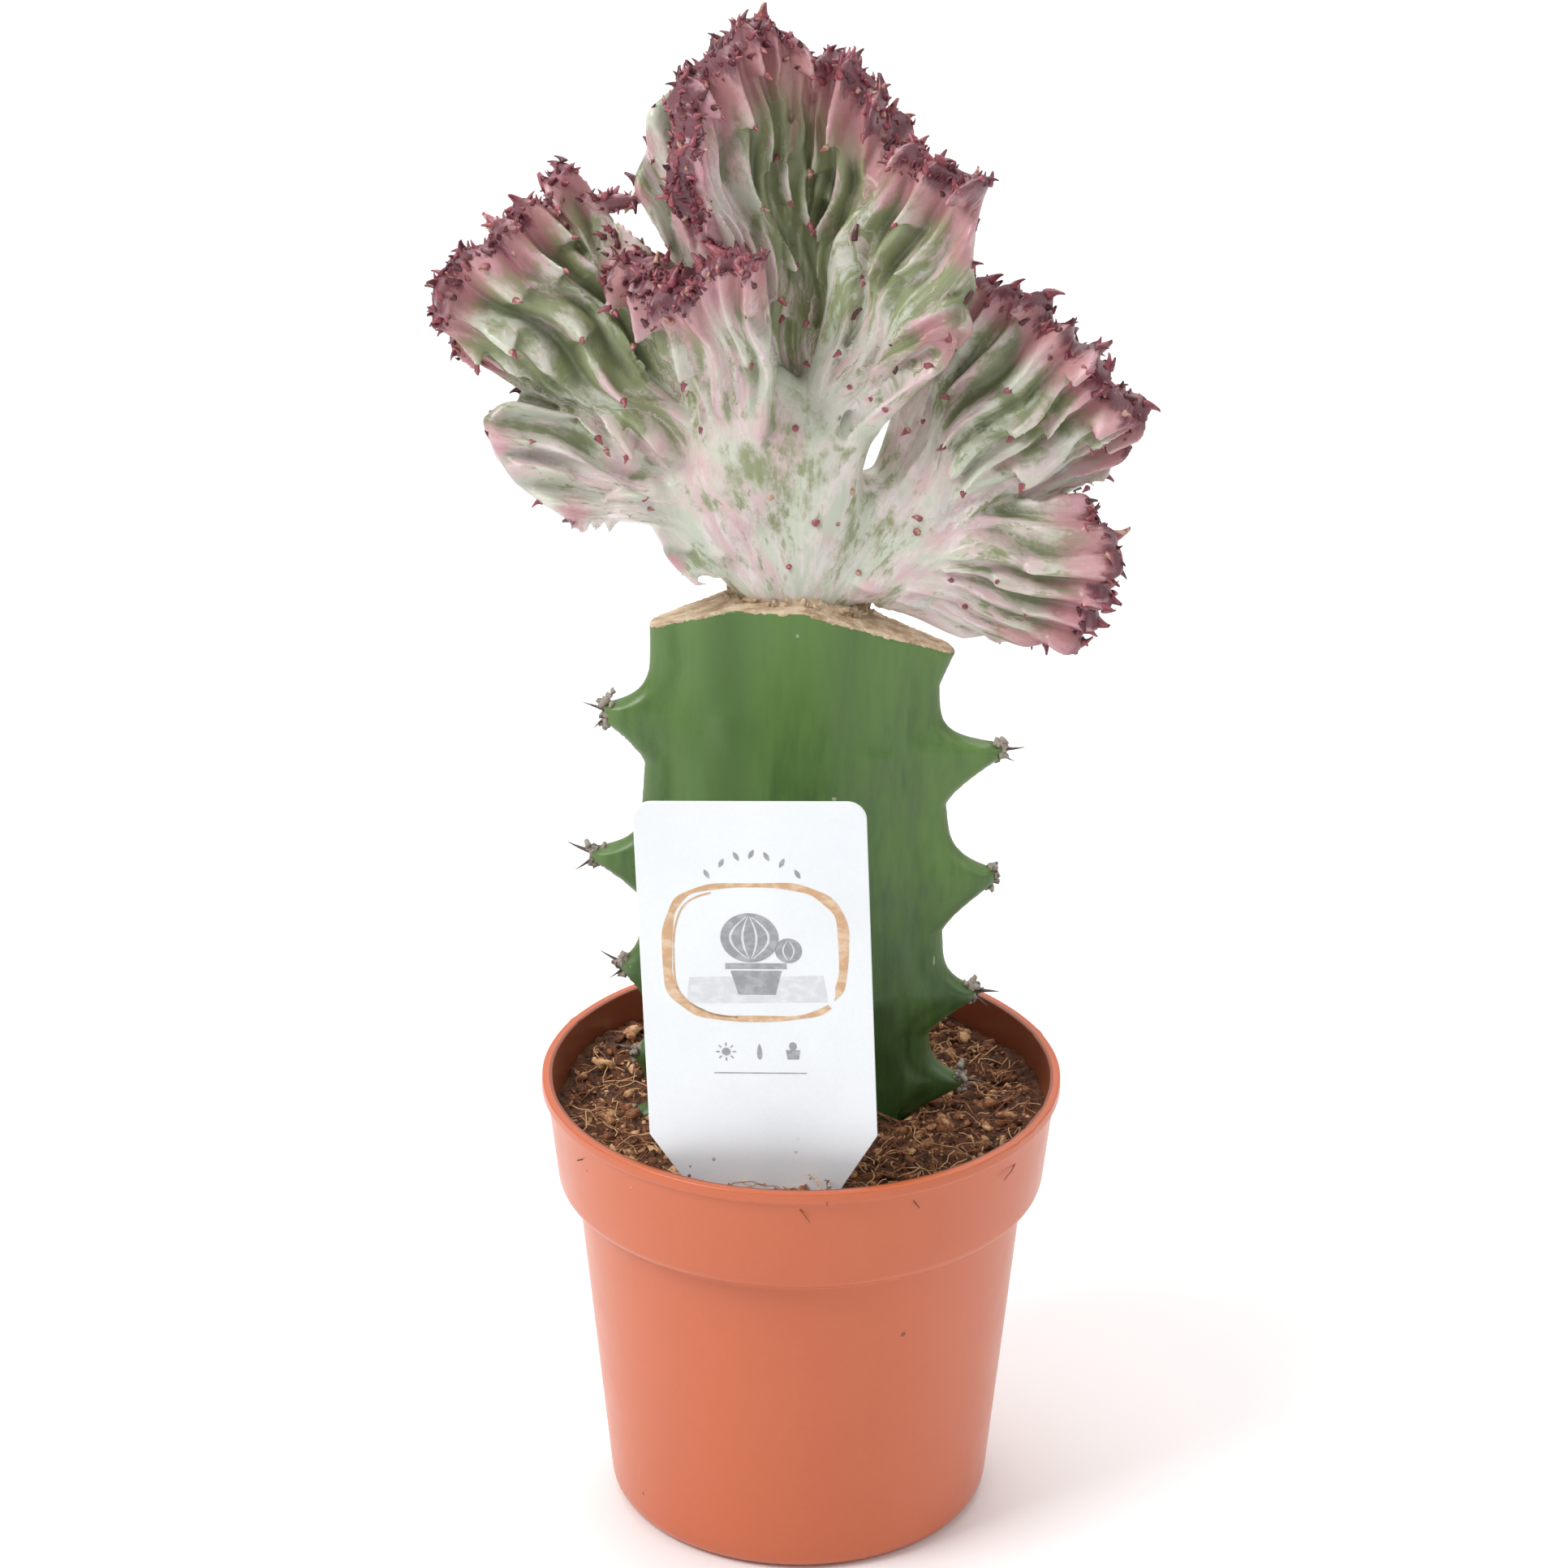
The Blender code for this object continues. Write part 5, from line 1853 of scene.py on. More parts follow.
@dataclass
class NurseryPot:
    """Thin-walled pot with a deep collar, a small lip and a ring foot with drain holes."""

    tools: Toolbox
    height: float
    lip_radius: float
    wall: float = 1.1 * MM
    lip_depth: float = 2.2 * MM
    wear_depth: float = 2.0 * MM
    collar_depth: float = 22.6 * MM
    collar_top: float = 51.3 * MM
    collar_foot: float = 49.2 * MM
    body_top: float = 45.4 * MM
    body_foot: float = 38.6 * MM
    foot_round: float = 4.0 * MM
    drain_radius: float = 3.2 * MM
    drain_count: int = 6
    drain_sides: int = 40
    ring_width: float = 5.0 * MM
    hub_radius: float = 13.0 * MM
    segments: int = 200

    def build(self) -> Piece:
        """Turn the profile, roughen the lip a little and pierce the base.

        Returns:
            The pot.
        """
        radii, heights = self._profile().T
        around = self.segments
        angle = circle(around)
        worn = smooth(self.height - self.wear_depth, self.height, heights)
        radius = radii[:, None] + self._lip_wear(angle)[None, :] * worn[:, None]
        points = np.stack([radius * np.cos(angle), radius * np.sin(angle),
                           np.broadcast_to(heights[:, None], radius.shape)], axis=2)
        faces = []
        for i in range(len(radii)):
            low, high = i * around, (i + 1) % len(radii) * around
            for j in range(around):
                k = (j + 1) % around
                faces.append((low + j, high + j, high + k, low + k))
        pot = new_piece("nursery_pot", points.reshape(-1, 3), faces,
                        PotPlastic(self.tools.effects).make(), merge=0.005 * MM)
        self._pierce(pot)
        return pot

    def _lip_wear(self, angle: Array) -> Array:
        """Small uneven flash round the lip.

        Args:
            angle: Angles round the pot.

        Returns:
            How far the lip stands out at each angle.
        """
        wear = 0.05 * MM * np.sin(7.0 * angle + 1.0) + 0.03 * MM * np.sin(19.0 * angle)
        for place, size in ((-0.62, 0.35), (-0.50, 0.25), (-0.30, 0.3), (0.35, 0.2), (2.7, 0.2)):
            wear = wear + size * MM * np.exp(-(((angle - place % TAU) / 0.018) ** 2))
        return wear

    def _profile(self) -> Array:
        """Closed profile as (radius, height), rounded and finely divided.

        Returns:
            The outline's points.
        """
        top, collar_z = self.height, self.height - self.collar_depth
        inner_foot = self.body_foot - self.wall
        ring = self.body_foot - self.foot_round - self.ring_width
        corners = [
            (self.lip_radius - 0.1 * MM, top, 0.45), (self.lip_radius, top - self.lip_depth, 0.5),
            (self.collar_top + 0.1 * MM, top - self.lip_depth - 0.5 * MM, 0.5),
            (self.collar_foot, collar_z, 1.6), (self.body_top, collar_z - 1.9 * MM, 0.9),
            (self.body_foot, 0.0, 4.6), (ring, 0.0, 0.7), (ring - 1.0 * MM, 1.6 * MM, 0.5),
            (self.hub_radius + 1.0 * MM, 1.6 * MM, 0.5), (self.hub_radius, 0.0, 0.5),
            (0.2 * MM, 0.0, 0.0),
            (0.2 * MM, 2.9 * MM, 0.0), (inner_foot, 2.9 * MM, 4.0),
            (self.body_top - self.wall, collar_z - 1.0 * MM, 1.0),
            (self.collar_foot - self.wall, collar_z + 0.9 * MM, 1.0),
            (self.collar_top - self.wall + 0.1 * MM, top, 0.4),
        ]
        return self._rounded(corners)

    @staticmethod
    def _rounded(corners: list[tuple[float, float, float]]) -> Array:
        """Round the corners of a closed outline and divide its long sides.

        Args:
            corners: Each corner's radius, height and rounding in millimetres.

        Returns:
            The outline's points.
        """
        outline: list[Array] = []
        count = len(corners)
        for index, (x, z, rounding) in enumerate(corners):
            here = np.array([x, z])
            before = np.array(corners[index - 1][:2]) - here
            after = np.array(corners[(index + 1) % count][:2]) - here
            cut = min(rounding * MM, 0.45 * np.linalg.norm(before), 0.45 * np.linalg.norm(after))
            start = here + before / np.linalg.norm(before) * cut
            end = here + after / np.linalg.norm(after) * cut
            for share in np.linspace(0.0, 1.0, 7 if cut > 0.0 else 1):
                middle = 2 * share * (1 - share) * here
                outline.append((1 - share) ** 2 * start + middle + share**2 * end)
        divided = []
        for index, point in enumerate(outline):
            following = outline[(index + 1) % len(outline)]
            pieces = max(1, math.ceil(np.linalg.norm(following - point) / (4.0 * MM)))
            for piece in range(pieces):
                divided.append(point + (following - point) * piece / pieces)
        return np.array(divided)

    def _pierce(self, pot: Piece) -> None:
        """Cut the drain holes through the base.

        Args:
            pot: The pot.
        """
        middle = 0.5 * (self.hub_radius + self.body_foot - self.foot_round - self.ring_width)
        angle = circle(self.drain_sides)
        hole = self.drain_radius * np.stack([np.cos(angle), np.sin(angle)], axis=1)
        rings, points, faces = (-5.0 * MM, 8.0 * MM), [], []
        for index in range(self.drain_count):
            turn = TAU * (index + 0.5) / self.drain_count
            centre = middle * np.array([math.cos(turn), math.sin(turn)])
            body, sides = stacked([np.column_stack([hole + centre, np.full(len(hole), z)])
                                   for z in rings])
            faces += [tuple(k + len(points) for k in side) for side in sides]
            points += body.tolist()
        carve(pot, new_piece("drain_cutter", points, faces))


# --------------------------------------------------------------------------- rootstock


@dataclass(frozen=True)
class Tooth:
    """One tooth of a wing: tip height above the soil, reach beyond the margin, and its slopes."""

    height: float
    reach: float
    shoulder: float = 2.6
    skirt: float = 11.0
    pad: float = 3.0
    spines: int = 2


@dataclass(frozen=True)
class Wing:
    """One wing of the stem: its margin as (height above soil, reach) and its teeth."""

    margin: tuple[tuple[float, float], ...]
    teeth: tuple[Tooth, ...]

    def reach(self, height: Array) -> Array:
        """How far the wing reaches from the stem's axis, in millimetres, by height.

        Args:
            height: Levels above the soil, in millimetres.

        Returns:
            The reach at each level.
        """
        levels, reaches = zip(*self.margin)
        base = np.interp(height, levels, reaches)
        extra = np.zeros_like(base)
        for tooth in self.teeth:
            above = height - tooth.height
            rise = np.exp(-np.clip(above, 0.0, None) / tooth.shoulder)
            fall = np.clip(1.0 - np.clip(-above - 0.6 * tooth.pad, 0.0, None) / tooth.skirt, 0.0, 1.0)
            extra = np.maximum(extra, np.where(above > 0.0, rise, fall**1.35) * tooth.reach)
        return base + extra


@dataclass
class Rootstock:
    """Three-winged green stem, pared at the top, with corky areoles, spines and dry callus."""

    tools: Toolbox
    seat: float
    soil: float
    left: Wing = Wing(((-40, 24), (-8, 28.5), (14, 30), (34, 31.5), (46, 32), (70, 31.5), (97, 29.8),
                       (112, 30)),
                      (Tooth(89.0, 8.6, 2.4, 9.0, 5.0), Tooth(57.8, 10.2, 2.3, 9.0),
                       Tooth(33.4, 4.9, 3.0, 8.0), Tooth(13.8, 3.6), Tooth(-0.5, 6.2, 1.6, 6.0)))
    right: Wing = Wing(((-40, 15), (-5, 19.5), (8, 24.5), (16, 25.2), (30, 26.8), (38, 27.7), (66, 28.2),
                        (88, 26.6), (94, 26.5), (101, 29.4), (112, 29.8)),
                       (Tooth(80.6, 12.2, 2.0, 11.0), Tooth(53.8, 10.2, 3.4, 11.0, 4.0, 0),
                        Tooth(27.5, 8.6, 3.4, 8.5), Tooth(7.6, 8.9, 3.0, 8.0)))
    back: Wing = Wing(((-40, 20), (0, 27), (112, 27)),
                      (Tooth(96, 7), Tooth(71, 9), Tooth(45, 9), Tooth(20, 7.5), Tooth(-5, 5)))
    root: float = 5.0
    edge: float = 2.8
    front: float = 7.0
    face_reach: float = 28.0
    margin_width: float = 2.2
    foot_centre: tuple[float, float] = (-1.0, 3.2)
    # Painted furrow shade on the front: each band's place across and width in millimetres, and its strength.
    painted_furrow_shades: tuple[Point, ...] = ((-14.5, 5.0, 1.0), (8.5, 3.5, 0.55))
    crumb_count: int = 190
    pad_count: int = 26
    flat: tuple[float, float] = (-13.5 * MM, 0.0)
    slopes: tuple[float, float] = (0.31, 0.35)
    buried: float = 34.0
    step: float = 0.6
    count: int = 132
    seed: int = 5

    def build(self) -> list[Piece]:
        """Build the stem, its callus, its areoles and its spines.

        Returns:
            The rootstock's pieces, stem first.
        """
        rng = np.random.default_rng(self.seed)
        stem = self._stem()
        cork = Cork(self.tools.effects).make()
        pads, spines = self._areoles(rng)
        return [stem, self._callus(cork), pads, spines, self._crumbs(cork, rng)]

    def section(self, height: float) -> tuple[Array, Array]:
        """Outline of the stem at a height above the soil.

        Args:
            height: Millimetres above the soil.

        Returns:
            Points counter-clockwise in millimetres, and how near each is to a wing's margin.
        """
        level = np.array([height])
        narrow = 1.0 - 0.25 * max(0.0, -height / self.buried) ** 1.3
        left, right, back = (float(wing.reach(level)[0]) for wing in (self.left, self.right, self.back))
        root, edge = self.root * narrow, self.edge * narrow
        front, inset = self.front * narrow, 0.9 * edge
        hollow = 8.5 * narrow
        base = self.face_reach
        outline = [
            (0.0, -front), (0.20 * base, -0.98 * front), (0.40 * right, -1.12 * root),
            (0.7 * base, -0.86 * root),
            (right - 2.4 * inset, -1.03 * edge), (right - inset, -0.96 * edge), (right - 0.1, -0.4 * edge),
            (right - 0.1, 0.4 * edge), (right - inset, 0.96 * edge), (0.6 * right, root), (hollow, hollow),
            (root, 0.6 * back), (edge, back - inset), (0.4 * edge, back), (-0.4 * edge, back),
            (-edge, back - inset), (-root, 0.6 * back), (-hollow, hollow), (-0.6 * left, root),
            (-left + inset, 0.96 * edge), (-left + 0.1, 0.4 * edge), (-left + 0.1, -0.4 * edge),
            (-left + inset, -0.96 * edge), (-left + 2.4 * inset, -1.03 * edge), (-0.7 * base, -0.86 * root),
            (-0.40 * left, -1.12 * root), (-0.20 * base, -0.98 * front),
        ]
        line = np.array([(x, y, 0.0) for x, y in outline + outline[:1]])
        fine = spaced_line(line, 0.25)
        place = running(fine)
        targets = np.linspace(0.0, place[-1], self.count, endpoint=False)
        points = np.stack([np.interp(targets, place, fine[:, k]) for k in range(2)], axis=1)
        gaps = np.minimum(np.minimum(right - points[:, 0], points[:, 0] + left), back - points[:, 1])
        return points, 1.0 - np.clip(gaps / self.margin_width, 0.0, 1.0)

    def seat_height(self, x: Array) -> Array:
        """Height of the pared top across the stem."""
        low = np.clip(self.flat[0] - x, 0.0, None) * self.slopes[0]
        return self.seat - low - np.clip(x - self.flat[1], 0.0, None) * self.slopes[1]

    def _loft(self, low: float, high: float, step: float) -> tuple[Array, list[tuple[int, ...]], Array]:
        """Stem body between two heights above the soil, before it is pared.

        Args:
            low: Lowest level in millimetres.
            high: Highest level in millimetres.
            step: Distance between the levels.

        Returns:
            Points, faces, and how near each point is to a wing's margin.
        """
        rings, margins = [], []
        for height in np.arange(low, high + 0.5 * step, step):
            points, margin = self.section(float(height))
            points = points * MM
            out = np.clip(np.abs(points[:, 0]) / (30 * MM), 0.0, 1.0) ** 2
            sway = 0.35 * MM * math.sin(height / 9.0) * np.sign(points[:, 0]) * out
            lumps = [noise.noise(Vector((x, y, height * MM)) * 90.0) for x, y in points]
            scale = 1.0 + 0.012 * np.array(lumps)
            rings.append(np.column_stack([points[:, 0], points[:, 1] * scale + sway,
                                          np.full(self.count, self.soil + height * MM)]))
            margins.append(margin)
        points, faces = stacked(rings)
        return points, faces, np.concatenate([*margins, [0.0, 0.0]])

    def _stem(self) -> Piece:
        """Green stem with its top pared off.

        Returns:
            The stem.
        """
        points, faces, margin = self._loft(-self.buried, (self.seat - self.soil) / MM + 3.0, self.step)
        skin = StemSkin(self.tools.effects, top=self.seat, soil=self.soil).make()
        stem = new_piece("rootstock_stem", points, faces, skin)
        set_floats(stem, "margin", margin)
        # Painted shade in two vertical bands on the front face, stored for the skin.
        across = points[:, 0] / MM
        furrow = sum(deep * np.exp(-(((across - place) / wide) ** 2)) for place, wide, deep in self.painted_furrow_shades)
        set_floats(stem, "furrow", furrow * (points[:, 1] < 0.0))
        self._pare(stem, 0.25 * MM, 'DIFFERENCE')
        return stem

    def _pare(self, piece: Piece, drop: float, how: str, depth: float = 60.0 * MM) -> None:
        """Cut a piece along the pared top, or keep only a slab under it.

        Args:
            piece: The piece.
            drop: How far below the graft seat the cut lies.
            how: Whether the slab is taken away or kept.
            depth: How thick the slab is.
        """
        far = 60.0 * MM
        stops = np.array([-far, self.flat[0], self.flat[1], far])
        low = self.seat_height(stops) - drop
        line = list(zip(stops, low)) + list(zip(stops[::-1], low[::-1] + depth))
        rings = [np.array([(x, y, z) for x, z in line]) for y in (-far, far)]
        carve(piece, new_piece("paring_cutter", *stacked(rings), merge=0.0001 * MM), how)

    def _callus(self, cork: Material) -> Piece:
        """Dry skin over the pared top, thin and a little ragged.

        Args:
            cork: The dry finish.

        Returns:
            The callus.
        """
        top = (self.seat - self.soil) / MM
        points, faces, _ = self._loft(top - 14.0, top + 4.0, 0.8)
        slab = new_piece("graft_callus", points, faces)
        self._pare(slab, 0.6 * MM, 'INTERSECT', 0.85 * MM)
        self._join_foot(slab)
        grow_together(slab, 0.38 * MM)
        for vertex in slab.data.vertices:
            push = noise.noise(vertex.co * 420.0) + 0.6 * noise.noise(vertex.co * 1100.0)
            vertex.co += vertex.normal * (0.05 + 0.20 * push) * MM
        dress_in(slab, cork)
        return slab

    def _join_foot(self, slab: Piece) -> None:
        """Add the dried foot of the crest to the slab, higher on the left.

        Args:
            slab: The piece that the foot is added to.
        """
        angle = circle(80)
        rings = []
        for share in np.linspace(-0.4, 1.0, 12):
            wide = 1.05 - 0.10 * smooth(0.7, 1.0, share)
            x = self.foot_centre[0] + 12.8 * wide * np.cos(angle)
            y = self.foot_centre[1] + 6.9 * wide * np.sin(angle)
            tall = 3.6 - 0.17 * x + 0.7 * np.sin(3.0 * angle + 1.0) + 0.5 * np.sin(7.0 * angle)
            z = self.seat_height(x * MM) + share * tall * MM
            rings.append(np.column_stack([x * MM, y * MM, z]))
        points, faces = stacked(rings)
        work = bmesh.new()
        work.from_mesh(slab.data)
        corners = [work.verts.new(point) for point in points]
        for face in faces:
            work.faces.new([corners[k] for k in face])
        work.to_mesh(slab.data)
        work.free()

    def _crumbs(self, cork: Material, rng: np.random.Generator) -> Piece:
        """Ring of dried crumbs where the crest sits on the stem.

        Args:
            cork: The dry finish.
            rng: Source of the random draws.

        Returns:
            One piece with every crumb.
        """
        count = self.crumb_count
        angle = rng.uniform(0.0, TAU, count)
        x = (self.foot_centre[0] + 12.4 * np.cos(angle) * rng.uniform(0.9, 1.12, count)) * MM
        y = (self.foot_centre[1] + 6.4 * np.sin(angle) * rng.uniform(0.95, 1.15, count)) * MM
        z = self.seat_height(x) + rng.uniform(-0.6, 1.4, count) * MM
        outward = np.column_stack([np.cos(angle), np.sin(angle), np.full(count, 0.6)])
        aims = rng.normal(0.0, 1.0, (count, 3)) + outward
        aims /= lengths(aims)
        return self.tools.thorns("graft_crumbs", np.column_stack([x, y, z]), aims,
                                 rng.uniform(0.4, 1.2, count), rng.uniform(0, 1, count), cork,
                                 Length=1.7 * MM, Base=0.85 * MM, Tip=0.4 * MM, Bend=0.6)

    def _tip_places(self) -> list[tuple[Array, Array, Tooth]]:
        """Where each tooth's areole sits, the way it faces and its tooth.

        Returns:
            One entry for each tooth of each wing.
        """
        places = []
        for wing, way in ((self.left, (-1.0, 0.0)), (self.right, (1.0, 0.0)), (self.back, (0.0, 1.0))):
            for tooth in wing.teeth:
                middle = tooth.height - 0.3 * tooth.pad
                reach = float(wing.reach(np.array([middle]))[0]) - 0.2
                place = np.array([way[0] * reach, way[1] * reach, 0.0]) * MM
                place[2] = self.soil + middle * MM
                places.append((place, np.array([*way, 0.0]), tooth))
        return places

    def _areoles(self, rng: np.random.Generator) -> tuple[Piece, Piece]:
        """Corky pads on the teeth, and the pairs of spines that stand on them.

        Args:
            rng: Source of the random draws.

        Returns:
            The pads and the spines.
        """
        pad_points, pad_aims, pad_sizes = [], [], []
        points, aims, sizes = [], [], []
        for place, way, tooth in self._tip_places():
            for _ in range(self.pad_count):
                lift = np.array([*rng.normal(0.0, 0.55, 2), rng.normal(0.0, 0.33 * tooth.pad)]) * MM
                pad_points.append(place + lift - 0.8 * MM * way)
                aim = way + rng.normal(0.0, 0.75, 3)
                pad_aims.append(aim / np.linalg.norm(aim))
                pad_sizes.append(rng.uniform(0.5, 1.15))
            for index in range(tooth.spines):
                rise = (0.12, -0.62)[index] + rng.uniform(-0.12, 0.12)
                side = np.cross(way, (0.0, 0.0, 1.0)) * (0.40, -0.30)[index]
                aim = way * (1.0 if index == 0 else 0.75) + side + np.array([0.0, 0.0, rise])
                points.append(place + np.array([0.0, 0.0, (0.5, -0.7)[index] * MM]) - 0.3 * MM * way)
                aims.append(aim / np.linalg.norm(aim))
                sizes.append(rng.uniform(0.85, 1.1) * (1.0, 0.72)[index])
        horn = ThornHorn(self.tools.effects).make()
        pads = self.tools.thorns("areole_pads", np.array(pad_points), np.array(pad_aims),
                                 np.array(pad_sizes), rng.uniform(0.5, 1.0, len(pad_points)), horn,
                                 Length=1.7 * MM, Base=0.95 * MM, Tip=0.50 * MM, Bend=0.3)
        spines = self.tools.thorns("stem_spines", np.array(points), np.array(aims), np.array(sizes),
                                   rng.uniform(0.0, 0.25, len(points)), horn,
                                   Length=5.6 * MM, Base=0.55 * MM, Tip=0.06 * MM, Bend=0.12)
        return pads, spines


# --------------------------------------------------------------------------- soil


@dataclass
class SoilBed:
    """Lumpy coir round the stem, strewn with chips and fibres."""

    tools: Toolbox
    level: float
    pot: NurseryPot
    stem: Rootstock
    label_place: tuple[float, float] = (-7.4 * MM, -40.0 * MM)
    rings: int = 76
    segments: int = 330

    def top(self, x: float, y: float) -> float:
        """Height of the soil at a place.

        Args:
            x: Place across, in metres.
            y: Place in depth, in metres.

        Returns:
            The height in metres.
        """
        spot = Vector((x, y, 0.0))
        coarse = noise.noise(spot / 0.018 + Vector((9.4, 2.2, 5.0)))
        middle = noise.noise(spot / 0.0068 + Vector((3.1, 7.7, 1.3)))
        fine = noise.noise(spot / 0.0026) + 0.55 * noise.noise(spot / 0.0011)
        reach = math.hypot(x - self.label_place[0], y - self.label_place[1])
        mound = 2.6 * MM * math.exp(-((reach / 0.022) ** 2))
        edge = 1.5 * MM * float(smooth(0.040, 0.049, math.hypot(x, y)))
        return self.level + (1.5 * coarse + 1.3 * middle + 0.75 * fine) * MM + mound + edge

    def build(self) -> list[Piece]:
        """Build the bed, the chips and the fibres.

        Returns:
            The soil's pieces, bed first.
        """
        bed = self._bed()
        loose = LooseCoir(self.tools.effects).make()
        pieces = [bed]
        for name, size, density in (("coir_crumbs", 0.80 * MM, 300000.0),
                                    ("coir_chips", 2.2 * MM, 70000.0)):
            pieces.append(self._strew(Scatter.CHIP, name, loose, bed, Size=size, Density=density,
                                      Seed=float(len(pieces))))
        for name, length, radius, rise, density in (
                ("coir_fibres", 8.0 * MM, 0.14 * MM, 2.4 * MM, 70000.0),
                ("coir_hairs", 18.0 * MM, 0.12 * MM, 6.0 * MM, 9000.0)):
            pieces.append(self._strew(Scatter.FIBRE, name, loose, bed, Length=length, Radius=radius,
                                      Rise=rise, Density=density, Seed=float(len(pieces) + 3)))
        return pieces

    def _strew(self, kind: Scatter, name: str, finish: Material, bed: Piece, **values: float) -> Piece:
        """Run a scattering tree over a copy of the bed.

        Args:
            kind: What is strewn.
            name: The piece's name.
            finish: The finish.
            bed: The soil bed.
            values: Values for the tree's named inputs.

        Returns:
            One piece with all that was strewn.
        """
        piece = bpy.data.objects.new(name, bed.data.copy())
        bpy.context.scene.collection.objects.link(piece)
        piece.data.materials.clear()
        return self.tools.tree(kind).run(piece, finish, **values)

    def _bed(self) -> Piece:
        """Closed body of soil with a lumpy top.

        Returns:
            The bed.
        """
        inner_top = self.pot.collar_top - self.pot.wall - 0.25 * MM
        angle = circle(self.segments)
        rings = []
        for radius, height in ((33.0, 3.4), (36.8, 6.6), (43.9, 69.0), (47.7, 73.6)):
            rings.append(np.column_stack([radius * MM * np.cos(angle), radius * MM * np.sin(angle),
                                          np.full(self.segments, height * MM)]))
        for step in range(self.rings):
            radius = (inner_top - 0.3 * MM) * (1.0 - step / self.rings) ** 0.92
            x, y = radius * np.cos(angle), radius * np.sin(angle)
            z = np.array([self.top(a, b) for a, b in zip(x, y)])
            rings.append(np.column_stack([x, y, z]))
        points, faces = stacked(rings)
        bed = new_piece("soil_bed", points, faces, CoirSoil(self.tools.effects).make())
        outline, _ = self.stem.section(0.0)
        away = np.hypot(points[:, 0], points[:, 1])
        strewn = (away < 47.3 * MM) & (points[:, 2] > 78.0 * MM)
        near = self._inside(points[:, :2], outline * MM)
        set_floats(bed, "strewn", (strewn & ~near).astype(float))
        return bed

    @staticmethod
    def _inside(points: Array, outline: Array) -> Array:
        """Which points lie inside an outline.

        Args:
            points: Points in metres.
            outline: Corners of the outline.

        Returns:
            True for each point that lies inside.
        """
        inside = np.zeros(len(points), dtype=bool)
        for index in range(len(outline)):
            (x1, y1), (x2, y2) = outline[index - 1], outline[index]
            if y1 == y2:
                continue
            crossing = (x2 - x1) * (points[:, 1] - y1) / (y2 - y1) + x1
            inside ^= ((y1 > points[:, 1]) != (y2 > points[:, 1])) & (points[:, 0] < crossing)
        return inside


# --------------------------------------------------------------------------- label


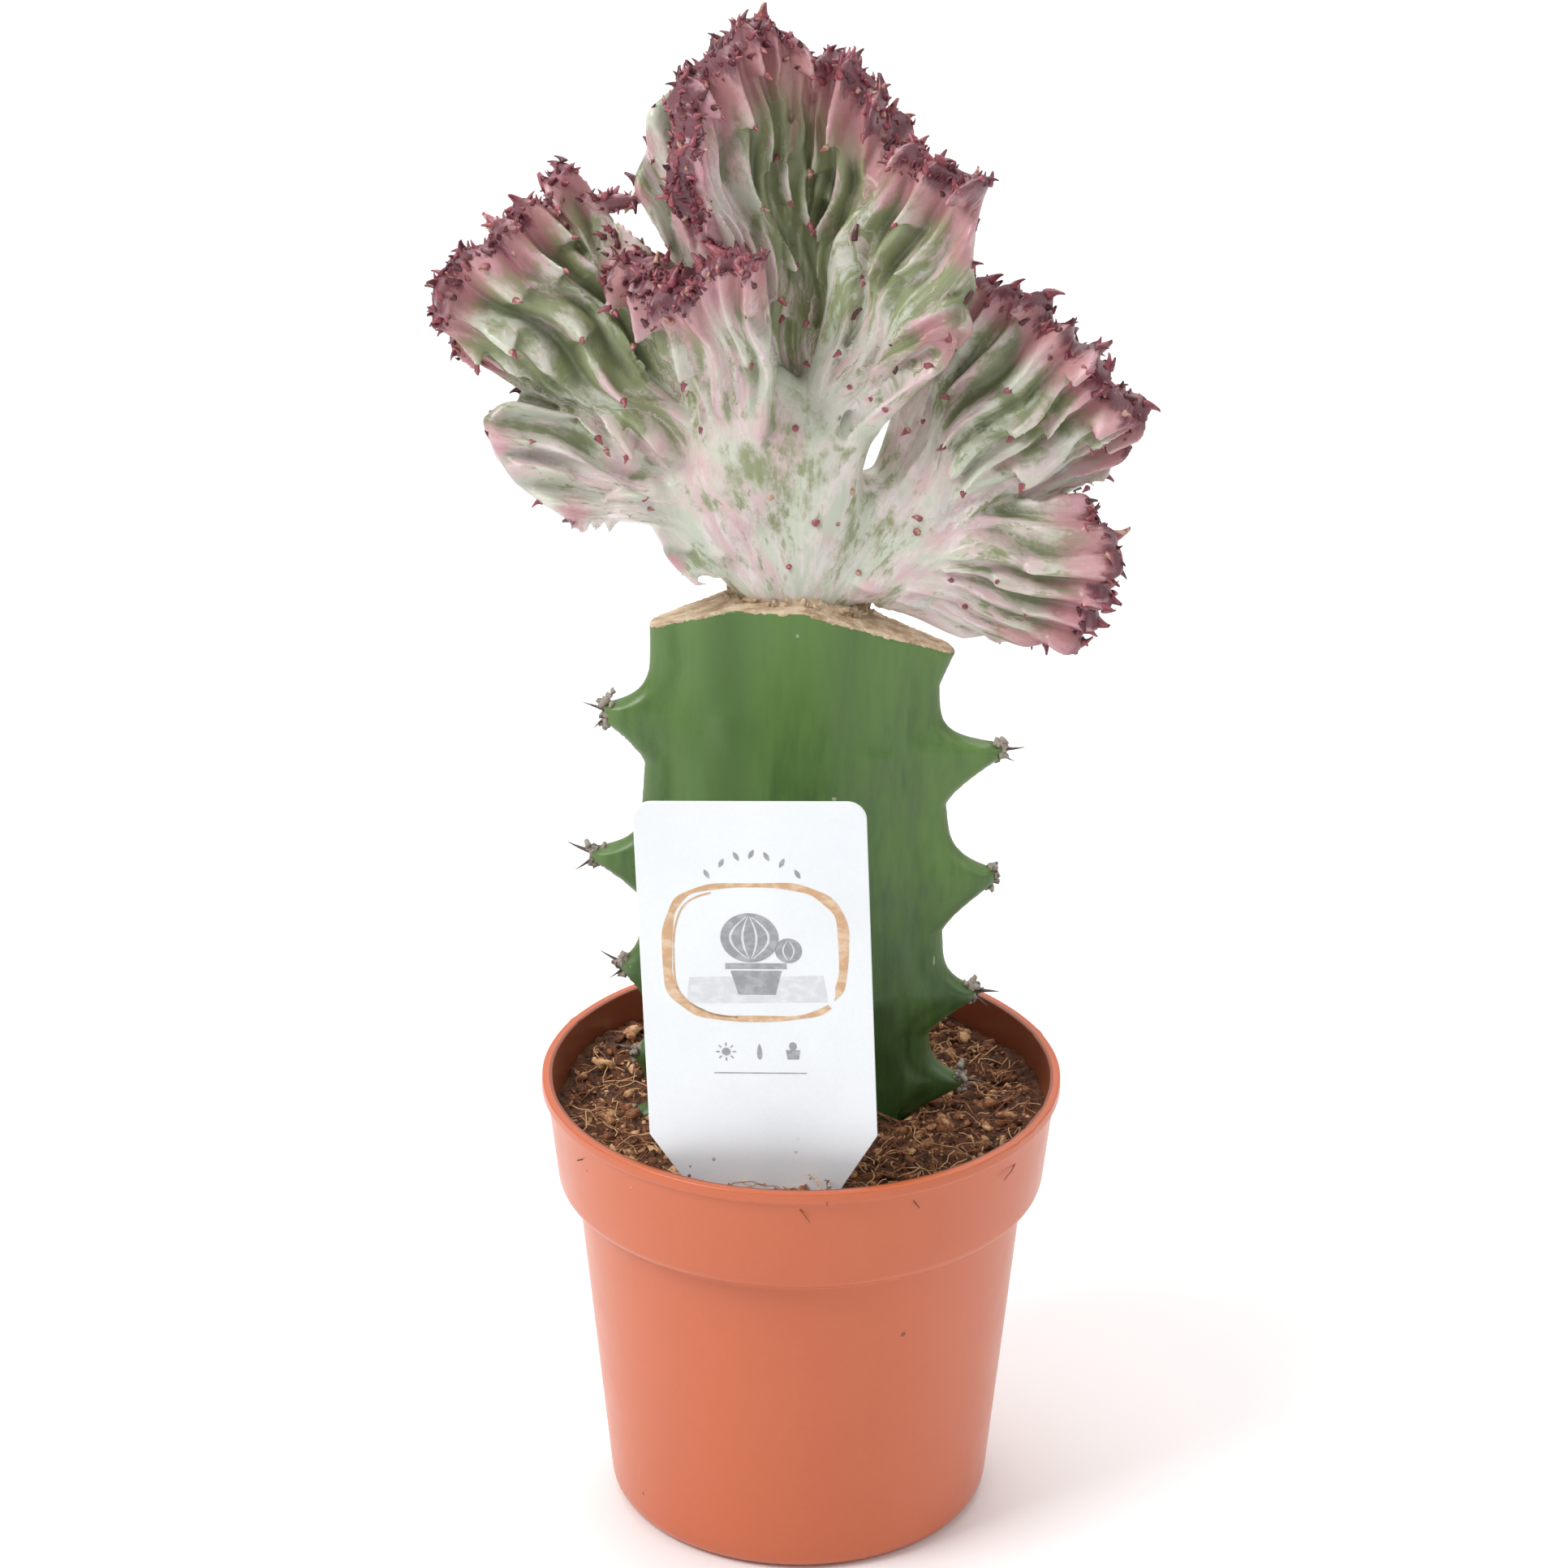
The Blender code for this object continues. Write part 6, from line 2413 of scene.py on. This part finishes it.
@dataclass
class PlantLabel:
    """White stick-in label with generic line art: a framed pot plant, leaves, a sun and a drop."""

    tools: Toolbox
    soil: float
    width: float = 44.5
    shoulder: float = 15.5
    above: float = 71.0
    point: float = 31.0
    point_width: float = 5.0
    corner: float = 3.6
    thickness: float = 0.7
    centre: float = -7.4
    depth: float = -40.0
    lean: float = math.radians(2.4)
    turn: float = math.radians(-5.0)

    def build(self) -> list[Piece]:
        """Build the plate and its printed marks.

        Returns:
            The label's pieces, plate first.
        """
        plate = self._slab("label_plate", self._outline(), -0.5 * self.thickness, 0.5 * self.thickness,
                           LabelPlastic(self.tools.effects).make())
        tan = PrintInk(self.tools.effects, name="tan_ink").make()
        grey = PrintInk(self.tools.effects, name="grey_ink", ink=(0.30, 0.31, 0.33),
                        thin=(0.42, 0.43, 0.45)).make()
        mist = PrintInk(self.tools.effects, name="mist_ink", ink=(0.66, 0.67, 0.70),
                        thin=(0.76, 0.77, 0.79)).make()
        return [plate, self._frame(tan), self._panel(mist), *self._pot_plant(grey, mist), self._marks(grey)]

    def _place(self, u: Array, v: Array, side: float) -> Array:
        """Points of the label's own plane, in metres.

        Args:
            u: Places across the label, in millimetres.
            v: Places up the label, in millimetres.
            side: Place through the label, in millimetres.

        Returns:
            One point for each place.
        """
        x = u * math.cos(self.lean) - v * math.sin(self.lean)
        z = self.soil / MM + self.shoulder + u * math.sin(self.lean) + v * math.cos(self.lean)
        across = self.centre + x * math.cos(self.turn) - side * math.sin(self.turn)
        depth = self.depth + x * math.sin(self.turn) + side * math.cos(self.turn)
        return np.stack([across, depth, z], axis=-1) * MM

    def _outline(self) -> Array:
        """Outline of the plate in its own plane, counter-clockwise.

        Returns:
            Its corners in millimetres.
        """
        half, tip = 0.5 * self.width, 0.5 * self.point_width
        outline = [(-tip, -self.point), (tip, -self.point), (half, 0.0)]
        for step in range(13):
            angle = math.radians(7.5 * step)
            outline.append((half - self.corner * (1.0 - math.cos(angle)),
                            self.above - self.corner * (1.0 - math.sin(angle))))
        return np.array(outline + [(-u, v) for u, v in reversed(outline[2:])])

    def _slab(self, name: str, outline: Array, near: float, far: float, finish: Material) -> Piece:
        """Flat plate with slightly softened edges from an outline in the label's plane.

        Args:
            name: The piece's name.
            outline: The outline, counter-clockwise.
            near: Place of its front, in millimetres.
            far: Place of its back, in millimetres.
            finish: The finish.

        Returns:
            The plate.
        """
        rings = []
        soften = 0.12
        inner = outline * (1.0 - soften / 22.0)
        for side, line in ((far, inner), (far - soften, outline), (near + soften, outline), (near, inner)):
            rings.append(self._place(line[:, 0], line[:, 1], side))
        count = len(outline)
        points = np.vstack(rings)
        faces = [tuple(range(count)), tuple(range(4 * count - 1, 3 * count - 1, -1))]
        for level in range(3):
            low, high = level * count, (level + 1) * count
            for i in range(count):
                j = (i + 1) % count
                faces.append((low + j, low + i, high + i, high + j))
        return flat_shaded(new_piece(name, points, faces, finish, merge=0.001 * MM))

    def _printed(self, name: str, shapes: list[Array], finish: Material, relief: float = 0.06) -> Piece:
        """Raise flat shapes a hair above the label's front.

        Args:
            name: The piece's name.
            shapes: Each shape as two lines of equal length, its left and right edges.
            finish: The ink.
            relief: How far the ink stands above the plate, in millimetres.

        Returns:
            One piece with every shape.
        """
        points, faces = [], []
        front = -0.5 * self.thickness
        for shape in shapes:
            start, count = len(points), len(shape)
            edge = shape.reshape(-1, 2)
            for side in (front - relief, front + 0.1):
                points.extend(self._place(edge[:, 0], edge[:, 1], side))
            low = start + 2 * count
            for i in range(count - 1):
                a = start + 2 * i
                b = low + 2 * i
                faces += [(a, a + 1, a + 3, a + 2), (b, b + 2, b + 3, b + 1),
                          (a, a + 2, b + 2, b), (a + 1, b + 1, b + 3, a + 3)]
            last = start + 2 * (count - 1)
            end = low + 2 * (count - 1)
            faces += [(start, low, low + 1, start + 1), (last, last + 1, end + 1, end)]
        return flat_shaded(new_piece(name, np.array(points), faces, finish, merge=0.0005 * MM))

    @staticmethod
    def _stroke(path: Array, widths: Array | float) -> Array:
        """Band along a path, as pairs of edge points.

        Args:
            path: Points along the middle.
            widths: Width of the band, or its width at each point.

        Returns:
            Pairs of edge points.
        """
        way = np.gradient(path, axis=0)
        way /= np.maximum(lengths(way), 1e-9)
        half = 0.5 * np.broadcast_to(widths, len(path))[:, None]
        side = np.stack([-way[:, 1], way[:, 0]], axis=1) * half
        return np.stack([path + side, path - side], axis=1)

    @staticmethod
    def _band(half: Array | float, low: Array, high: Array, middle: float = 0.0) -> Array:
        """Filled shape between a left and a right edge, as pairs of edge points.

        Args:
            half: Half the width, at each height.
            low: Heights of the left edge.
            high: Heights of the right edge.
            middle: Where the shape's middle lies.

        Returns:
            Pairs of edge points.
        """
        left = np.stack([middle - half + 0.0 * low, low], axis=1)
        right = np.stack([middle + half + 0.0 * high, high], axis=1)
        return np.stack([left, right], axis=1)

    def _blob(self, u: float, v: float, half_u: float, half_v: float, count: int = 20) -> Array:
        """Filled oval, as pairs of edge points from its foot to its top.

        Args:
            u: Its centre across.
            v: Its centre's height.
            half_u: Half its width.
            half_v: Half its height.
            count: Pairs of points.

        Returns:
            Pairs of edge points.
        """
        angle = np.linspace(-0.5 * math.pi, 0.5 * math.pi, count)
        height = v + half_v * np.sin(angle)
        return self._band(half_u * np.cos(angle), height, height, u)

    def _ribs(self, u: float, v: float, half_u: float, half_v: float, leans: tuple[float, ...],
              width: float, thin: float) -> list[Array]:
        """Pale ribs that bow across a round plant and run out thin at both ends.

        Args:
            u: The plant's centre across.
            v: The plant's centre's height.
            half_u: Half the plant's width.
            half_v: Half the ribs' height.
            leans: How far each rib bows, as a share.
            width: Width in the middle.
            thin: Width at the ends.

        Returns:
            One band for each rib.
        """
        share = np.linspace(-1.0, 1.0, 21)
        paths = [np.stack([u + half_u * lean * np.cos(1.45 * share), v + half_v * share], axis=1)
                 for lean in leans]
        return [self._stroke(path, width * np.cos(1.5 * share) + thin) for path in paths]

    def _frame(self, ink: Material) -> Piece:
        """Loose hand-drawn frame with rounded corners, open at the lower right.

        Args:
            ink: The ink.

        Returns:
            The frame.
        """
        turn = np.linspace(-0.62, TAU - 0.78, 150)
        power = 0.62
        u = 17.0 * np.sign(np.cos(turn)) * np.abs(np.cos(turn)) ** power
        v = 39.5 + 14.2 * np.sign(np.sin(turn)) * np.abs(np.sin(turn)) ** power
        u = u + 0.25 * np.sin(5.0 * turn)
        widths = 1.5 + 0.5 * np.sin(2.0 * turn + 1.0) + 0.25 * np.sin(11.0 * turn)
        widths *= smooth(0.0, 0.25, turn + 0.62) * 0.8 + 0.2
        thin_u, thin_v = u * 0.955 + 0.5, 39.5 + (v - 39.5) * 0.95 - 0.4
        strokes = [self._stroke(np.stack([u, v], axis=1), widths),
                   self._stroke(np.stack([thin_u, thin_v], axis=1)[62:128], 0.35)]
        return self._printed("label_frame", strokes, ink)

    def _panel(self, ink: Material) -> Piece:
        """Pale background inside the frame.

        Args:
            ink: The ink.

        Returns:
            The panel.
        """
        height = np.linspace(28.5, 34.2, 14)
        half = 13.6 - 0.05 * (height - 28.5) ** 1.5
        return self._printed("label_panel", [self._band(half, height, height + 0.4)], ink, 0.03)

    def _pot_plant(self, ink: Material, pale: Material) -> list[Piece]:
        """Simple pot with a round ribbed plant and a small round offset.

        Args:
            ink: The ink.
            pale: The paler ink.

        Returns:
            The plant and its ribs.
        """
        height = np.linspace(30.5, 35.6, 8)
        half = 3.6 + 0.26 * (height - 30.5)
        rim = np.array([36.0, 37.2])
        solid = [self._band(half, height, height), self._band(5.9, rim, rim),
                 self._blob(-1.0, 42.6, 5.6, 5.2, 30), self._blob(6.4, 39.9, 2.6, 2.6, 24)]
        ribs = [*self._ribs(-1.0, 42.6, 5.6, 4.5, (-0.66, -0.24, 0.24, 0.66), 0.42, 0.05),
                *self._ribs(6.4, 39.9, 2.6, 2.1, (-0.4, 0.4), 0.28, 0.04)]
        return [self._printed("label_pot_plant", solid, ink),
                self._printed("label_plant_ribs", ribs, pale, 0.09)]

    def _marks(self, ink: Material) -> Piece:
        """Row of leaves above the frame; a sun, a drop, a small pot and a thin line below it.

        Args:
            ink: The ink.

        Returns:
            One piece with every mark.
        """
        shapes = []
        for index in range(7):
            across = (index - 3) * 2.9
            rise = 60.2 - 0.055 * across * across
            lean = 0.5 if index % 2 else -0.5
            share = np.linspace(0.0, 1.0, 12)
            path = np.stack([across + lean * (share - 0.5) * 2.0, rise + (share - 0.5) * 1.9], axis=1)
            shapes.append(self._stroke(path, 0.85 * np.sin(math.pi * share) + 0.04))
        shapes.append(self._blob(-6.5, 18.2, 0.85, 0.85))
        for ray in range(8):
            way = np.array([math.cos(ray * math.pi / 4), math.sin(ray * math.pi / 4)])
            path = np.array([-6.5, 18.2]) + np.linspace(1.25, 1.95, 3)[:, None] * way
            shapes.append(self._stroke(path, 0.28))
        share = np.linspace(0.0, 1.0, 18)
        drop = np.stack([np.zeros(18), 16.5 + 3.4 * share], axis=1)
        shapes.append(self._stroke(drop, 2.3 * np.sqrt(share) * (1.0 - share) ** 0.8 + 0.03))
        pot = np.array([16.6, 18.6])
        shapes.append(self._band(np.array([1.1, 1.4]), pot, pot, 6.5))
        shapes.append(self._blob(6.5, 19.4, 0.75, 0.9))
        line = np.stack([np.linspace(-9.0, 9.0, 3), np.full(3, 13.6)], axis=1)
        shapes.append(self._stroke(line, 0.22))
        return self._printed("label_marks", shapes, ink)


# --------------------------------------------------------------------------- studio


@dataclass
class Studio:
    """Plain pale floor, soft lights and the camera."""

    tools: Toolbox
    camera_place: Point = (-0.00373, -0.9129, 0.5660)
    camera_dip: float = math.radians(24.09)
    camera_roll: float = 0.0048
    camera_lens: float = 116.4

    def build(self) -> None:
        """Set out the floor, the lights, the surroundings and the camera."""
        self._floor()
        self._light("key_light", (-0.85, -0.50, 1.15), 0.6, 13.5)
        self._light("fill_light", (1.0, -0.45, 0.85), 0.8, 3.0)
        self._light("top_light", (0.0, 0.25, 1.35), 0.9, 4.0)
        self._light("floor_light", (0.0, 1.1, 1.5), 1.6, 14.0, (0.0, 1.0, 0.0))
        self._surroundings()
        self._camera()

    def _floor(self) -> None:
        """Pale floor with a curved-up far edge."""
        profile = [(-3.0, 0.0), (2.2, 0.0)]
        for step in range(1, 9):
            angle = math.radians(step * 11.25)
            profile.append((2.2 + 0.9 * math.sin(angle), 0.9 * (1.0 - math.cos(angle))))
        profile.append((3.1, 4.0))
        points = [(x, y, z) for x in (-4.0, 4.0) for y, z in profile]
        count = len(profile)
        faces = [(i, count + i, count + i + 1, i + 1) for i in range(count - 1)]
        floor = new_piece("floor", points, faces, StudioPaper(self.tools.effects).make())

    def _light(self, name: str, place: Point, size: float, power: float,
               target: Point = (0.0, 0.0, 0.15)) -> None:
        """Add one soft square light that looks at the plant, or at another target.

        Args:
            name: The light's name.
            place: Where it stands.
            size: Its side in metres.
            power: Its power in watts.
            target: Where it looks.
        """
        data = bpy.data.lights.new(name, 'AREA')
        data.size = size
        data.energy = power
        lamp = bpy.data.objects.new(name, data)
        lamp.location = place
        lamp.rotation_euler = (Vector(target) - Vector(place)).to_track_quat('-Z', 'Y').to_euler()
        bpy.context.scene.collection.objects.link(lamp)

    def _surroundings(self) -> None:
        """Even white light from all round."""
        world = bpy.data.worlds.new("studio")
        world.use_nodes = True
        sky = world.node_tree.nodes["Background"]
        sky.inputs["Color"].default_value = (1.0, 1.0, 1.0, 1.0)
        sky.inputs["Strength"].default_value = 0.50
        bpy.context.scene.world = world
        bpy.context.scene.view_settings.view_transform = 'Standard'

    def _camera(self) -> None:
        """Add the camera at its place in front of and above the plant."""
        data = bpy.data.cameras.new("camera")
        data.lens = self.camera_lens
        data.sensor_width = 36.0
        camera = bpy.data.objects.new("camera", data)
        turn = Matrix.Rotation(math.pi / 2 - self.camera_dip, 4, 'X')
        turn = turn @ Matrix.Rotation(self.camera_roll, 4, 'Z')
        camera.matrix_world = Matrix.Translation(self.camera_place) @ turn
        bpy.context.scene.collection.objects.link(camera)
        bpy.context.scene.camera = camera


def main() -> None:
    """Build every sub-assembly on the loaded frame."""
    tools = Toolbox()
    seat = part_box("rootstock")[1][2]
    pot_low, pot_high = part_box("pot")
    soil_level = pot_high[2] - 9.0 * MM
    pot = NurseryPot(tools, pot_high[2], pot_high[0])
    adopt(pot.build(), "pot_plastic", "pot")
    stock = Rootstock(tools, seat, soil_level)
    for piece in stock.build():
        adopt(piece, "stem_skin", *(("rootstock",) if piece.name == "rootstock_stem" else ()))
    for piece in SoilBed(tools, soil_level, pot, stock).build():
        adopt(piece, "coir_soil", *(("soil",) if piece.name == "soil_bed" else ()))
    for piece in Crest(tools, seat).build():
        adopt(piece, "crest_skin", *(("crest",) if piece.name == "crest_body" else ()))
    for piece in PlantLabel(tools, soil_level).build():
        adopt(piece, "label_plastic", *(("label",) if piece.name == "label_plate" else ()))
    Studio(tools).build()


if __name__ == "__main__":
    logging.basicConfig(level=logging.INFO, format="%(name)s: %(message)s")
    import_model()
    main()
